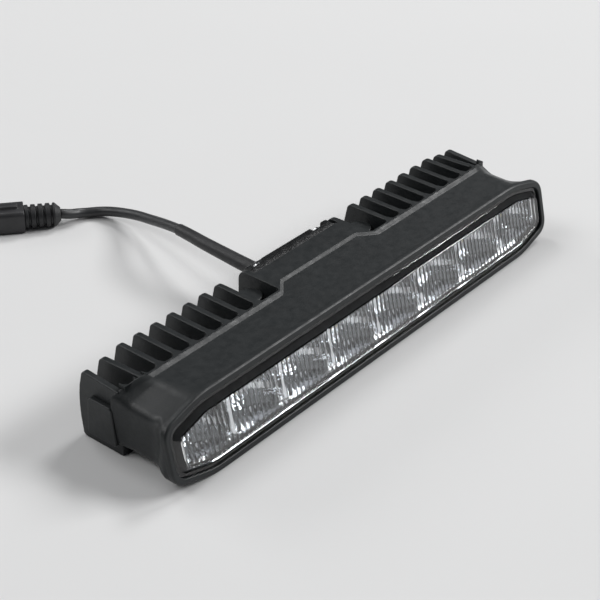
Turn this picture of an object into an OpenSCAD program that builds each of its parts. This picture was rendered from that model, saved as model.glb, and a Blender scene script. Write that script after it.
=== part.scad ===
// Driving light: a slim bar of eight LED reflector cups behind a clear lens, in a
// cast housing with cooling fins, a closed driver chamber at the rear and a cable.
// Millimetres. X runs along the bar, Y points to the rear, Z up. It rests on Z = 0.

/* [Housing] */
// Length of the light over its front lip
length = 270; // [266:1:276]
// Height of the front face, measured along its slope
face_h = 36.4; // [36:0.1:38]
// How far the front face leans back, in degrees
lean = 14; // [13:0.5:15]
// Length of the corner cuts along the bar
corner_w = 22; // [20:0.5:24]
// Height of the corner cuts
corner_h = 5.3; // [4.9:0.1:5.7]
// Width of the lip around the lens, seen from the front
lip_w = 3; // [2.6:0.1:3.2]
// Depth of the lip
lip_depth = 3; // [2.6:0.1:3.6]
// Step from the lip down to the top plate
plate_drop = 1; // [0.6:0.1:1.4]
// Distance from the foot of the lip to the fin roots
body_depth = 33.6; // [33:0.2:35]

/* [Fins] */
// Number of fins on each side of the driver block
fin_count = 9; // [7:1:9]
// Thickness of a fin
fin_t = 3; // [2.4:0.1:3.4]
// Centre of the first fin, from the middle of the light
first_fin = 47; // [46.6:0.1:48]
// Reach of the fin tips behind the fin roots
fin_reach = 25.2; // [24.6:0.2:27]
// How far the rear edge of a fin bulges at mid height
fin_bulge = 2; // [1:0.2:3]
// Radius of the round fin tips
tip_r = 2.8; // [1.6:0.2:3.6]

/* [Driver block] */
// Width of the block that holds the driver
block_w = 65; // [64:0.5:66]
// Reach of the block behind the fin roots
block_reach = 18.2; // [17.8:0.1:18.6]
// Width of the driver chamber
chamber_w = 56; // [54.5:0.5:57]
// Width of the strip beside the chamber that the cover seals on
seal_land = 1.2; // [1:0.1:1.6]
// Thickness of the two side walls that guard the cover
ear_t = 3; // [2.4:0.2:3.4]
// Diameter of the two mounting bosses
boss_d = 11; // [10:0.2:11.6]
// Bore for the mounting screws, tapped M6
mount_d = 5; // [4.6:0.1:5.4]
// Depth of the mounting bores
mount_depth = 16; // [12:1:20]

/* [Lens and optics] */
// How far the lens stands out of the lip
lens_proud = 1.5; // [1:0.1:1.6]
// Border from the lip's outside to the flat window of the lens
window_inset = 7.5; // [7.3:0.1:8]
// Thickness of the lens flange
flange_t = 1.8; // [1.6:0.1:2]
// Thickness of the lens gasket
gasket_t = 1; // [0.8:0.1:1.2]
// Depth of the reflector
reflector_depth = 13.2; // [12.8:0.1:13.6]
// Focal length of a reflector cup
cup_focus = 4; // [3.8:0.1:4.2]
// Thickness of the LED board
board_t = 1.6; // [1.4:0.1:1.8]
// Thickness of the thermal pad behind the LED board
pad_t = 0.5; // [0.4:0.1:0.7]
// Side of one square LED chip
chip_w = 3.5; // [3:0.1:4]
// Height of an LED chip
chip_t = 0.7; // [0.5:0.1:1]

/* [Rear cover] */
// Thickness of the rear cover
cover_t = 6.2; // [5.8:0.1:6.2]
// Thickness of the cover gasket
cover_gasket_t = 0.8; // [0.6:0.1:1]
// Distance of the cover screws from the middle
cover_screw_x = 21; // [20:0.5:22]
// Width of the open notch around each cover screw
notch_w = 8.5; // [7.6:0.1:9]

/* [Cable] */
// Diameter of the cable
cable_d = 5; // [4.4:0.1:5.2]
// Diameter of the strain relief sleeve at the light
sleeve_d = 7; // [6.6:0.1:7.6]
// Diameter of the ribbed connector boot
boot_d = 12; // [11:0.1:12]
// Length of the connector boot
boot_len = 18; // [16:0.5:22]
// Length of the connector body
plug_len = 30; // [28:1:36]

/* [Hidden] */

$fn = 48;
half = length / 2;
top_z = face_h * cos(lean);
mid_h = face_h / 2;
face_corner = corner_h / cos(lean);
fit = 0.2;
thread_gap = 0.05;
tip_y = body_depth + fin_reach;
depth = tip_y + fin_bulge;

// Fins: the last one sits at a fixed distance from the end of the bar
last_fin = half - 7.75;
fin_pitch = (last_fin - first_fin) / (fin_count - 1);
slot_r = (fin_pitch - fin_t) / 2;

// Lens, gasket and reflector stack, as depths behind the face plane
seat_inset = lip_w;
flange_inset = seat_inset + fit;
seat_depth = 1.2 + flange_t + gasket_t;
flange_front = seat_depth - gasket_t - flange_t;
bevel_inset = window_inset - lens_proud - flange_front;
cavity_inset = 6.6;
reflector_inset = cavity_inset + 0.4;
reflector_front = seat_depth - 0.8;
board_front = reflector_front + reflector_depth;
board_back = board_front + board_t;
cavity_depth = board_back + pad_t;
cells = 8;
cell_pitch = (length - 11.6) / cells;
cup_r = cell_pitch / 2 - 0.35;
cup_half_h = mid_h - reflector_inset - 0.7;
board_h = 20;
wire_h = mid_h + 5.8;
board_screw_cells = [-3, -1, 1, 3];
board_screw_len = 8;
m3_r = 1.5;
m3_head_r = 2.75;
wire_hole_r = 3;

// Driver block and chamber
block_y = body_depth + block_reach;
ear_y = tip_y;
rim_t = 8;
chamber_front = block_y - 13.8;
ledge_y = chamber_front + 3;
chamber_bottom = 7;
chamber_top = top_z - 7.8;
driver_z = (chamber_bottom + chamber_top) / 2;
driver_t = 1.6;
driver_back = ledge_y + driver_t;
driver_w = chamber_w - 3;
driver_h = chamber_top - chamber_bottom - 2;
wire_r = 0.9;
wire_x = 1.6;
driver_screw_x = chamber_w / 2 - 3.2;
driver_screw_r = 1.25;
inductor_x = driver_w / 2 - 14.5;
driver_screw_len = 6.6;
boss_x = (block_w / 2 + first_fin - fin_t / 2) / 2;
boss_y = body_depth + 12.4;

// Rear cover, its screws and what passes through it
cover_gap = 0.3;
cover_y = block_y + cover_gasket_t;
cover_back = cover_y + cover_t;
cover_half_w = chamber_w / 2 + seal_land;
rim_half_w = cover_half_w + cover_gap + ear_t;
cover_low = 1;
cover_high = top_z - 0.7;
cover_screws_at = [
    [-cover_screw_x, top_z - 4.3], [cover_screw_x, top_z - 4.3],
    [-cover_screw_x, 4], [cover_screw_x, 4]
];
head_seat = cover_back - 2.8;
cover_screw_len = cover_t + cover_gasket_t + 4;
cable_x = -10;
cable_z = 21;
vent_x = 14;
stub_r = 6;

// Cable: the route is given by hand from the driver chamber to the connector boot
cable_r = cable_d / 2;
cable_start = driver_back + 5.4;
core_r = 0.8;
core_x = 1.1;
gland_end = cover_back + 9.2;
boot_r = boot_d / 2;
boot_at = [-15, 192, boot_r];
boot_dir = 141;
plug_end = boot_len + plug_len;
plug_step = plug_end - 14;
nose_w = 10;
nose_h = boot_d - 3.8;
contact_x = 2.4;
route = [
    [cable_x, 36, cable_z], [cable_x, cable_start, cable_z],
    [cable_x, 58, cable_z], [cable_x, gland_end, cable_z],
    [-9.5, 78, cable_z], [-8.8, 88, cable_z], [-7.6, 101, 20.8], [-5.6, 111.5, 20],
    [-3, 122.5, 18.4], [0.6, 135, 15], [4.2, 148, 11], [6.6, 160, 7.8], [7, 170.5, 5.2],
    [5.4, 178, 3.8], [2.4, 183.4, 3], [-1.6, 186.8, 2.9], [-6, 189, 3.6],
    [-10.6, 189.9, 4.8], boot_at, boot_at + 6 * [cos(boot_dir), sin(boot_dir), 0]
];
route_steps = 3;
cable_sides = 12;
sleeve_from = 2 * route_steps;
sleeve_to = 7 * route_steps;

function unit(v) = v / norm(v);

// Rounds every corner of a polygon, starting r before it and ending r after it
function soften(p, r, n = 3) = [
    for (i = [0 : len(p) - 1])
        let (a = p[(i + len(p) - 1) % len(p)], b = p[i], c = p[(i + 1) % len(p)])
        let (s = b + unit(a - b) * r, e = b + unit(c - b) * r)
        for (k = [0 : n])
            let (t = k / n)
            (1 - t) * (1 - t) * s + 2 * t * (1 - t) * b + t * t * e
];

// Outline of the face, set in by d on every side; height runs from 0 to face_h
function cut_length() = sqrt(corner_w * corner_w + face_corner * face_corner);
function flat_x(d) = half - corner_w - d * (cut_length() - corner_w) / face_corner;
function wall_h(d) = mid_h - face_corner - d * (cut_length() - face_corner) / corner_w;
function sharp_outline(d) = [
    [flat_x(d), d], [half - d, mid_h - wall_h(d)], [half - d, mid_h + wall_h(d)],
    [flat_x(d), face_h - d], [-flat_x(d), face_h - d], [-(half - d), mid_h + wall_h(d)],
    [-(half - d), mid_h - wall_h(d)], [-flat_x(d), d]
];
function outline(d) = soften(sharp_outline(d), max(2.5, 6.5 - 0.5 * d));
function face_ring(d, s) = [for (p = outline(d)) [p[0], p[1], -s]];

// The fin roots follow a line that bends to the rear near both ends
function bend(x) = abs(x) < half - 23 ? 0 : 6.4 * pow((abs(x) - half + 23) / 18.5, 1.6);
function root_y(x) = body_depth + bend(x);

// One section ring of the body: y, half width, drop of the corner, half width of
// the flat top, drop of the flat top, share of the bend
function section(s) =
    let (w = half - s[1], a = half - s[3], zc = top_z - s[2], zt = top_z - s[4])
    let (flat = soften([
        [w, corner_h], [w, zc], [a, zt], [-a, zt], [-w, zc], [-w, corner_h],
        [-half + corner_w, 0], [half - corner_w, 0]
    ], 3.4))
    [for (p = flat) [p[0], s[0] + s[5] * bend(p[0]), p[1]]];

stations = [
    [-4, 1, 6.5, 22, plate_drop, 0],
    [8, 1, 6.5, 22, plate_drop, 0],
    [11.5, 2.2, 6.5, 21.6, plate_drop, 0],
    [15, 4.6, 6.9, 20.8, plate_drop, 0],
    [18, 5.5, 8, 20, plate_drop, 0],
    [22, 5.7, 8.7, 19.4, plate_drop, 0],
    [body_depth - 5.6, 5.7, 8.5, 19, plate_drop, 0.6],
    [body_depth - 2.6, 5.1, 6.4, 17.5, plate_drop, 1],
    [body_depth - 1.2, 4.8, 5.9, 16.7, plate_drop * 0.4, 1],
    [body_depth, 4.5, 5.6, 16, 0, 1],
    [body_depth + 0.4, 4.5, 5.6, 16, 0, 1]
];

// A closed solid through rings of points that have the same count
module ring_solid(r) {
    n = len(r[0]);
    m = len(r);
    polyhedron(
        points = [for (ring = r) for (p = ring) p],
        faces = concat(
            [for (i = [1 : n - 2]) [0, i + 1, i]],
            [for (k = [0 : m - 2]) for (i = [0 : n - 1])
                [k * n + i, k * n + (i + 1) % n, (k + 1) * n + (i + 1) % n]],
            [for (k = [0 : m - 2]) for (i = [0 : n - 1])
                [k * n + i, (k + 1) * n + (i + 1) % n, (k + 1) * n + i]],
            [for (i = [1 : n - 2]) [(m - 1) * n, (m - 1) * n + i, (m - 1) * n + i + 1]]
        )
    );
}

// Centres the light over the origin, front to rear
module place() {
    translate([0, -depth / 2, 0]) children();
}

// Local X along the bar, Y up the sloping face, Z out of it
module on_face(s = 0) {
    rotate([90 - lean, 0, 0]) translate([0, 0, -s]) children();
}

// A flat shape on the face, from depth s0 to depth s1
module face_slab(s0, s1) {
    on_face(s1) linear_extrude(s1 - s0) children();
}

// A shape in X and Z, drawn out from y0 to y1
module prism_y(y0, y1) {
    translate([0, y1, 0]) rotate([90, 0, 0]) linear_extrude(y1 - y0) children();
}

// A shape in Y and Z, drawn out along X around the plane x
module slab_x(x, t) {
    translate([x - t / 2, 0, 0]) rotate([90, 0, 90]) linear_extrude(t) children();
}

module rod_y(x, z, y0, y1, r) {
    translate([x, y1, z]) rotate([90, 0, 0]) cylinder(r = r, h = y1 - y0);
}

module hex_y(x, z, y0, y1, across) {
    translate([x, y1, z]) rotate([90, 0, 0]) cylinder(r = across / sqrt(3), h = y1 - y0, $fn = 6);
}

module both_sides() {
    children();
    mirror([1, 0, 0]) children();
}

// Cells are counted from 1 at the left end, seen from the front
module at_cell(i) {
    translate([(i - (cells + 1) / 2) * cell_pitch, mid_h, 0]) children();
}

module at_cells() {
    for (i = [1 : cells]) at_cell(i) children();
}

// Front lip with its upright end walls and corner cuts
module lip() {
    intersection() {
        prism_y(-1, 16) polygon([for (p = outline(0)) [p[0], p[1] * cos(lean)]]);
        face_slab(0, lip_depth) translate([-half - 5, -10]) square([length + 10, face_h + 20]);
    }
}

// Body behind the lip, waisted at both ends and rising to the fin roots
module body_shell() {
    intersection() {
        ring_solid([for (s = stations) section(s)]);
        face_slab(1, 90) translate([-half - 5, -30]) square([length + 10, face_h + 60]);
    }
}

// Side view of a fin: low and high are the heights of its top at root and tip
function fin_side(root, low, high) = concat(
    [[body_depth - 2, 0.0], [body_depth - 2, low - 3], [root, low - 1.5], [root, low]],
    [for (k = [3 : -1 : 0])
        let (t = k / 3, b = [tip_y + fin_bulge * (1 - pow(high * 2 / top_z - 1, 2)), high])
        let (s = b - [tip_r, 0], e = b - [-0.3, tip_r])
        (1 - t) * (1 - t) * e + 2 * t * (1 - t) * b + t * t * s],
    [for (z = [0.7, 0.5, 0.3]) [tip_y + fin_bulge * (1 - pow(2 * z - 1, 2)), z * top_z]],
    [[tip_y + 0.6, 1.6], [tip_y - 0.6, 0.4], [tip_y - 1.8, 0]]
);

module fin(k) {
    x = first_fin + k * fin_pitch;
    root = root_y(x - fin_t / 2) + 0.1;
    from_end = fin_count - 1 - k;
    low = top_z - (from_end == 0 ? 4.2 : from_end == 1 ? 0.5 : 0);
    high = top_z - (from_end == 0 ? 2.9 : from_end == 1 ? 1.8 : 0);
    slab_x(x, fin_t) polygon(fin_side(root, low, high));
}

// Round root between fin k and the next one
module slot_root(k) {
    x = first_fin + (k + 0.5) * fin_pitch;
    y = root_y(x);
    drop = k == fin_count - 2 ? 1.7 : 0;
    difference() {
        translate([x - slot_r - 0.2, y - 1, 0])
            cube([2 * slot_r + 0.4, slot_r + 1, top_z - drop]);
        translate([x, y + slot_r, -1]) cylinder(r = slot_r, h = top_z + 2);
    }
}

// Wide slot beside the driver block, with the mounting boss in it
module boss_bay() {
    x0 = block_w / 2;
    x1 = first_fin - fin_t / 2;
    difference() {
        translate([x0 - 0.2, body_depth + 0.1, 0]) cube([x1 - x0 + 0.4, 3.4, top_z]);
        translate([x0 + 3.4, body_depth + 3.5, -1]) cylinder(r = 3.4, h = top_z + 2);
        translate([x1 - 3.4, body_depth + 3.5, -1]) cylinder(r = 3.4, h = top_z + 2);
        translate([x0 + 3.4, body_depth + 0.1, -1]) cube([x1 - x0 - 6.8, 4, top_z + 2]);
    }
    translate([boss_x, boss_y, 0]) cylinder(d = boss_d, h = top_z - 4.6);
    translate([boss_x - boss_d / 2 + 1, body_depth, 0])
        cube([boss_d - 2, boss_y - body_depth, top_z - 9.5]);
}

// Low heel on the outside of the last fin
module end_heel() {
    x = last_fin + fin_t / 2 + 1.1;
    slab_x(x, 2.6) polygon(soften([
        [body_depth + 4, 5], [tip_y - 4.6, 5], [tip_y - 5.6, top_z - 12.2],
        [body_depth + 6.4, top_z - 12.2]
    ], 1.8));
}

// Block with a rim that the cover sits in, between two side walls
module driver_block() {
    translate([-block_w / 2, body_depth + 0.1, 0]) cube([block_w, block_reach - 0.1, top_z]);
    translate([-rim_half_w, block_y - rim_t, 0]) cube([2 * rim_half_w, rim_t, top_z]);
    both_sides() slab_x(rim_half_w - ear_t / 2, ear_t) polygon(soften([
        [block_y - rim_t, 0], [ear_y, 0], [ear_y, top_z], [block_y - rim_t, top_z]
    ], 2.2));
}

// Shallow field in the top plate that reaches back over the driver block
function field(e, z) = [
    [-33.65 - 1.577 * e, body_depth - 2.55, z], [-25.79 - 0.358 * e, body_depth + 3.9 + e, z],
    [25.79 + 0.358 * e, body_depth + 3.9 + e, z], [33.65 + 1.577 * e, body_depth - 2.55, z]
];

module plate_field() {
    low = top_z - plate_drop;
    ring_solid([for (e = [3.5, 0]) [for (p = field(e, low + e * plate_drop / 2.5)) p]]);
}

// Seat for the lens and the cavity for the optics behind it
module front_pockets() {
    face_slab(-1, seat_depth) polygon(outline(seat_inset));
    face_slab(seat_depth - 1, cavity_depth) polygon(outline(cavity_inset));
    for (i = board_screw_cells)
        on_face(board_front + board_screw_len + 1) translate([i * cell_pitch, mid_h, 0])
            cylinder(r = m3_r, h = board_screw_len);
    intersection() {
        on_face(body_depth + 20) translate([0, wire_h, 0])
            cylinder(r = wire_hole_r, h = body_depth + 21 - cavity_depth);
        translate([-10, 0, 0]) cube([20, chamber_front + 1, top_z]);
    }
}

module driver_pockets() {
    x = chamber_w / 2;
    translate([-x, ledge_y, chamber_bottom])
        cube([chamber_w, 30, chamber_top - chamber_bottom]);
    translate([-x + 6, chamber_front, chamber_bottom + 2])
        cube([chamber_w - 12, 5, chamber_top - chamber_bottom - 4]);
    for (s = [-1, 1])
        rod_y(s * driver_screw_x, driver_z, driver_back - driver_screw_len - 0.5, ledge_y + 1,
            driver_screw_r);
    for (p = cover_screws_at)
        rod_y(p[0], p[1], head_seat - cover_screw_len - 0.5, block_y + 1, m3_r);
}

module housing() {
    color([0.05, 0.055, 0.06])
    place()
    difference() {
        union() {
            lip();
            body_shell();
            driver_block();
            both_sides() {
                for (k = [0 : fin_count - 1]) fin(k);
                for (k = [0 : fin_count - 2]) slot_root(k);
                boss_bay();
                end_heel();
            }
        }
        plate_field();
        front_pockets();
        driver_pockets();
        both_sides() translate([boss_x, boss_y, -1]) cylinder(d = mount_d, h = mount_depth + 1);
    }
}

// Clear lens: a flange under the lip and a raised window with bevelled edges
module lens() {
    color([0.8, 0.85, 0.88, 0.4])
    place()
    difference() {
        union() {
            face_slab(flange_front, flange_front + flange_t) polygon(outline(flange_inset));
            on_face() ring_solid([
                face_ring(window_inset, -lens_proud), face_ring(bevel_inset, flange_front + 0.2)
            ]);
        }
        face_slab(flange_front - 0.5, seat_depth) polygon(outline(window_inset - 0.1));
    }
}

module lens_gasket() {
    color([0.03, 0.03, 0.03])
    place()
    difference() {
        face_slab(seat_depth - gasket_t, seat_depth) polygon(outline(flange_inset));
        face_slab(seat_depth - 3, seat_depth + 1) polygon(outline(cavity_inset + 0.1));
    }
}

// Eight parabolic cups, cut flat above and below, with room for chips and screw heads
module reflector() {
    color([0.85, 0.86, 0.88])
    place()
    difference() {
        face_slab(reflector_front, board_front) polygon(outline(reflector_inset));
        intersection() {
            on_face(board_front) at_cells() cup();
            face_slab(reflector_front - 1, board_front + 1) cup_limit();
        }
        on_face(board_front) at_cells() translate([0, 0, -1]) cylinder(r = 3.8, h = 3);
        for (i = [-3 : 3])
            on_face(board_front) translate([i * cell_pitch, mid_h, -1]) cylinder(r = 3.3, h = 3.3);
    }
}

module cup_limit() {
    intersection() {
        polygon(outline(reflector_inset + 0.7));
        translate([-half, mid_h - cup_half_h]) square([length, 2 * cup_half_h]);
    }
}

function cup_radius(z) = 2 * sqrt(cup_focus * z);

// Hollow of one cup; its depth is set so that the mouth has the radius cup_r
module cup() {
    mouth = cup_r * cup_r / (4 * cup_focus);
    shift = mouth - reflector_depth;
    rotate_extrude() polygon(concat(
        [[0, 0.6]],
        [for (i = [0 : 9])
            let (z = 0.6 + (reflector_depth - 0.6) * i / 9) [cup_radius(z + shift), z]],
        [[cup_r, reflector_depth + 1], [0, reflector_depth + 1]]
    ));
}

module board_shape(inset, h) {
    intersection() {
        polygon(outline(inset));
        translate([-half, mid_h - h / 2]) square([length, h]);
    }
}

module led_board() {
    color([0.08, 0.2, 0.12])
    place()
    difference() {
        face_slab(board_front, board_back) board_shape(reflector_inset + 0.2, board_h);
        for (i = board_screw_cells)
            on_face(board_back + 1) translate([i * cell_pitch, mid_h, 0]) cylinder(r = 1.6, h = 5);
    }
}

module led_chip(i) {
    color([0.9, 0.75, 0.2])
    place() on_face(board_front) at_cell(i)
        translate([-chip_w / 2, -chip_w / 2, 0]) cube([chip_w, chip_w, chip_t]);
}

// Half ball of clear silicone on a chip
module led_dome(i) {
    color([0.9, 0.92, 0.95, 0.6])
    place() on_face(board_front - chip_t) at_cell(i)
        intersection() {
            sphere(d = chip_w - 0.3);
            translate([0, 0, chip_w / 2]) cube(chip_w, center = true);
        }
}

module thermal_pad() {
    color([0.55, 0.57, 0.6])
    place()
    difference() {
        face_slab(board_back, cavity_depth) board_shape(reflector_inset + 3, board_h - 2);
        for (i = board_screw_cells)
            on_face(cavity_depth + 1) translate([i * cell_pitch, mid_h, 0]) cylinder(r = 2, h = 5);
        on_face(cavity_depth + 1) translate([0, wire_h, 0]) cylinder(r = wire_hole_r, h = 5);
    }
}

// Pan head screw with a six-sided socket; it points along -Z, head resting on Z = 0
module pan_screw(shank_r, shank_l, head_r, head_h) {
    difference() {
        union() {
            cylinder(r = head_r, h = head_h * 0.6);
            translate([0, 0, head_h * 0.6]) cylinder(r1 = head_r, r2 = head_r * 0.72, h = head_h * 0.4);
            translate([0, 0, -shank_l]) cylinder(r = shank_r, h = shank_l + 0.2);
        }
        translate([0, 0, head_h * 0.45]) cylinder(r = shank_r * 0.85, h = head_h, $fn = 6);
    }
}

module board_screws() {
    color([0.7, 0.71, 0.72])
    place()
    for (i = board_screw_cells)
        on_face(board_front) translate([i * cell_pitch, mid_h, 0])
            pan_screw(m3_r - thread_gap, board_screw_len, m3_head_r, 1.7);
}

module driver_board() {
    color([0.06, 0.22, 0.14])
    place()
    difference() {
        translate([-driver_w / 2, ledge_y, driver_z - driver_h / 2])
            cube([driver_w, driver_t, driver_h]);
        for (s = [-1, 1]) rod_y(s * driver_screw_x, driver_z, ledge_y - 1, driver_back + 1, 1.4);
    }
}

module driver_inductor() {
    color([0.2, 0.2, 0.21])
    place() {
        rod_y(inductor_x, driver_z, driver_back, driver_back + 1.2, 6);
        rod_y(inductor_x, driver_z, driver_back + 1.2, driver_back + 4.8, 5);
        rod_y(inductor_x, driver_z, driver_back + 4.8, driver_back + 6, 6);
    }
}

module driver_capacitors() {
    color([0.75, 0.76, 0.78])
    place()
    for (x = [8.5 - driver_w / 2, 17.5 - driver_w / 2]) {
        translate([x - 3.3, driver_back, driver_z - 7.6]) cube([6.6, 1, 6.6]);
        rod_y(x, driver_z - 4.3, driver_back + 1, driver_back + 7.4, 3.1);
    }
}

module driver_controller() {
    color([0.04, 0.04, 0.045])
    place() {
        translate([-1.5, driver_back, driver_z + 1.5]) cube([5, 1.6, 6]);
        for (z = [2.1, 3.7, 5.3, 6.9])
            translate([-2.5, driver_back, driver_z + z - 0.3]) cube([7, 0.4, 0.6]);
    }
}

module driver_transistor() {
    color([0.05, 0.05, 0.055])
    place() {
        translate([-2.3, driver_back, driver_z - 7.4]) cube([6.6, 2.3, 6]);
        translate([-1.7, driver_back, driver_z - 1.6]) cube([5.4, 0.6, 1.6]);
    }
}

module driver_screws() {
    color([0.7, 0.71, 0.72])
    place()
    for (s = [-1, 1])
        translate([s * driver_screw_x, driver_back, driver_z]) rotate([-90, 0, 0])
            pan_screw(driver_screw_r - thread_gap, driver_screw_len, 2.2, 1.5);
}

// Two wires from the back of the LED board to the front of the driver board
module link_wires() {
    color([0.6, 0.05, 0.05])
    place()
    intersection() {
        for (s = [-1, 1])
            on_face(body_depth + 20) translate([s * wire_x, wire_h, 0])
                cylinder(r = wire_r, h = body_depth + 20 - board_back);
        translate([-10, 0, 0]) cube([20, ledge_y, top_z]);
    }
}

module supply_wires() {
    color([0.05, 0.05, 0.3])
    place()
    for (s = [-1, 1]) rod_y(cable_x + s * core_x, cable_z, driver_back, cable_start, core_r);
}

module notch(p) {
    rod_y(p[0], p[1], head_seat, cover_back + 1, notch_w / 2);
    up = p[1] > top_z / 2;
    translate([p[0] - notch_w / 2, head_seat, up ? p[1] : cover_low - 1])
        cube([notch_w, 5, up ? 8 : p[1] - cover_low + 1]);
}

// Cover of the driver chamber, held between the side walls by four screws
module rear_cover() {
    color([0.07, 0.075, 0.08])
    place()
    difference() {
        translate([-cover_half_w, cover_y, cover_low])
            cube([2 * cover_half_w, cover_t, cover_high - cover_low]);
        for (p = cover_screws_at) {
            rod_y(p[0], p[1], cover_y - 1, cover_back, 1.7);
            notch(p);
        }
        rod_y(cable_x, cable_z, cover_y - 1, cover_back + 1, stub_r);
        rod_y(vent_x, driver_z, cover_y - 1, cover_back + 1, 3);
    }
}

module cover_gasket() {
    color([0.03, 0.03, 0.03])
    place()
    difference() {
        translate([-cover_half_w, block_y, cover_low])
            cube([2 * cover_half_w, cover_gasket_t, cover_high - cover_low]);
        translate([-chamber_w / 2 + 0.2, block_y - 1, chamber_bottom])
            cube([chamber_w - 0.4, 5, chamber_top - chamber_bottom]);
        for (p = cover_screws_at) rod_y(p[0], p[1], block_y - 1, cover_y + 1, 1.9);
    }
}

module cover_screws() {
    color([0.75, 0.76, 0.78])
    place()
    for (p = cover_screws_at)
        translate([p[0], head_seat, p[1]]) rotate([-90, 0, 0])
            pan_screw(m3_r - thread_gap, cover_screw_len, m3_head_r, 2.3);
}

// Breather that lets the closed chambers follow the air pressure
module breather_vent() {
    color([0.04, 0.04, 0.045])
    place() {
        rod_y(vent_x, driver_z, cover_y + 1, cover_back + 0.1, 3 - thread_gap);
        difference() {
            rod_y(vent_x, driver_z, cover_back, cover_back + 1.4, 5);
            for (a = [0 : 60 : 300])
                rod_y(vent_x + 3.4 * cos(a), driver_z + 3.4 * sin(a), cover_back + 0.7,
                    cover_back + 2, 0.6);
        }
    }
}

module gland_body() {
    color([0.04, 0.04, 0.045])
    place()
    difference() {
        union() {
            rod_y(cable_x, cable_z, cover_y + 0.4, cover_back + 0.1, stub_r - thread_gap);
            hex_y(cable_x, cable_z, cover_back, cover_back + 2.4, 12);
            rod_y(cable_x, cable_z, cover_back + 2.3, cover_back + 6, 5);
        }
        rod_y(cable_x, cable_z, cover_y - 1, cover_back + 9, cable_r + 0.15);
        rod_y(cable_x, cable_z, cover_back - 1, cover_back + 9, 4);
    }
}

module gland_seal() {
    color([0.12, 0.12, 0.13])
    place()
    difference() {
        rod_y(cable_x, cable_z, cover_back - 1, cover_back + 6.4, 4 - thread_gap);
        rod_y(cable_x, cable_z, cover_back - 2, cover_back + 9, cable_r + 0.1);
    }
}

module gland_nut() {
    color([0.04, 0.04, 0.045])
    place()
    difference() {
        union() {
            hex_y(cable_x, cable_z, cover_back + 2.6, gland_end - 2, 12);
            translate([cable_x, gland_end, cable_z]) rotate([90, 0, 0])
                cylinder(r1 = 4.4, r2 = 5.9, h = 2.1);
        }
        rod_y(cable_x, cable_z, cover_back + 2, cover_back + 6.4, 5 + thread_gap);
        rod_y(cable_x, cable_z, cover_back + 2, gland_end + 1, cable_r + 0.15);
    }
}

// Points along the route, with the given number of steps between its given points
function smooth_route(p, n) = concat(
    [for (i = [1 : len(p) - 3]) for (k = [0 : n - 1])
        let (t = k / n, a = p[i - 1], b = p[i], c = p[i + 1], d = p[i + 2])
        0.5 * (2 * b + (c - a) * t + (2 * a - 5 * b + 4 * c - d) * t * t
            + (3 * b - a - 3 * c + d) * t * t * t)],
    [p[len(p) - 2]]
);

cable_path = smooth_route(route, route_steps);

function way(i) =
    i <= sleeve_from ? [0, 1, 0]
    : i == len(cable_path) - 1 ? [cos(boot_dir), sin(boot_dir), 0]
    : unit(cable_path[i + 1] - cable_path[i - 1]);

function cable_ring(i, r) =
    let (t = way(i), u = unit(cross(t, [0, 0, 1])), v = cross(u, t))
    [for (k = [0 : cable_sides - 1])
        let (a = 360 * (k + 0.5) / cable_sides)
        cable_path[i] + r * (cos(a) * u + sin(a) * v)];

module cable() {
    color([0.03, 0.03, 0.032])
    place() ring_solid([for (i = [0 : len(cable_path) - 1]) cable_ring(i, cable_r)]);
}

// Shrunk sleeve over the first stretch of the cable, thinner towards its end
module cable_sleeve() {
    color([0.05, 0.05, 0.055])
    place()
    difference() {
        ring_solid([for (i = [sleeve_from : sleeve_to])
            let (t = (i - sleeve_from) / (sleeve_to - sleeve_from))
            cable_ring(i, sleeve_d / 2 + t * (cable_r + 0.45 - sleeve_d / 2))]);
        ring_solid([for (i = [sleeve_from - 1 : sleeve_to + 1]) cable_ring(i, cable_r + 0.1)]);
    }
}

// Local X runs from the cable into the connector
module at_plug() {
    place() translate(boot_at) rotate(boot_dir) children();
}

module connector_boot() {
    color([0.04, 0.04, 0.042])
    at_plug() rotate([0, 90, 0]) rotate_extrude() polygon(concat(
        [[0, 0], [cable_r + 0.9, 0], [boot_r - 1.6, 1.6]],
        [for (i = [0 : 3])
            let (z = 1.6 + (boot_len - 3.6) * i / 4, w = (boot_len - 3.6) / 4)
            each [
                [boot_r - 0.4, z + 0.4], [boot_r, z + 0.8], [boot_r, z + w - 1.6],
                [boot_r - 1.1, z + w - 1.1], [boot_r - 1.1, z + w - 0.3]
            ]],
        [[boot_r, boot_len - 1.6], [boot_r, boot_len], [0, boot_len]]
    ));
}

module plug_shape(w, h, r) {
    hull() for (x = [-1, 1], y = [-1, 1])
        translate([x * (w / 2 - r), y * (h / 2 - r)]) circle(r = r, $fn = 24);
}

module along_plug(x0, x1) {
    at_plug() translate([x0, 0, 0]) rotate([90, 0, 90]) linear_extrude(x1 - x0) children();
}

// Two-way connector: a body with a latch rib and a nose with two narrow sockets
module connector_body() {
    color([0.045, 0.045, 0.05])
    difference() {
        union() {
            along_plug(boot_len, plug_step) plug_shape(14, boot_d, 2.4);
            along_plug(plug_step - 0.2, plug_end) plug_shape(nose_w, nose_h, 1.8);
            along_plug(boot_len + 3, plug_step - 2) translate([-2, boot_r - 0.2]) square([4, 1.6]);
        }
        for (y = [-1, 1])
            along_plug(plug_end - 10, plug_end + 1) translate([y * contact_x, 0]) circle(r = 1.3);
    }
}

module connector_seal() {
    color([0.7, 0.3, 0.1])
    difference() {
        along_plug(plug_step, plug_step + 2.2) plug_shape(nose_w + 1.4, nose_h + 1.4, 2.4);
        along_plug(plug_step - 1, plug_step + 4) plug_shape(nose_w + 0.1, nose_h + 0.1, 1.85);
    }
}

module connector_contacts() {
    color([0.8, 0.7, 0.4])
    for (y = [-1, 1])
        along_plug(plug_end - 10, plug_end - 1.5) translate([y * contact_x, 0])
            difference() {
                circle(r = 1.25);
                circle(r = 0.8);
            }
}

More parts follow.
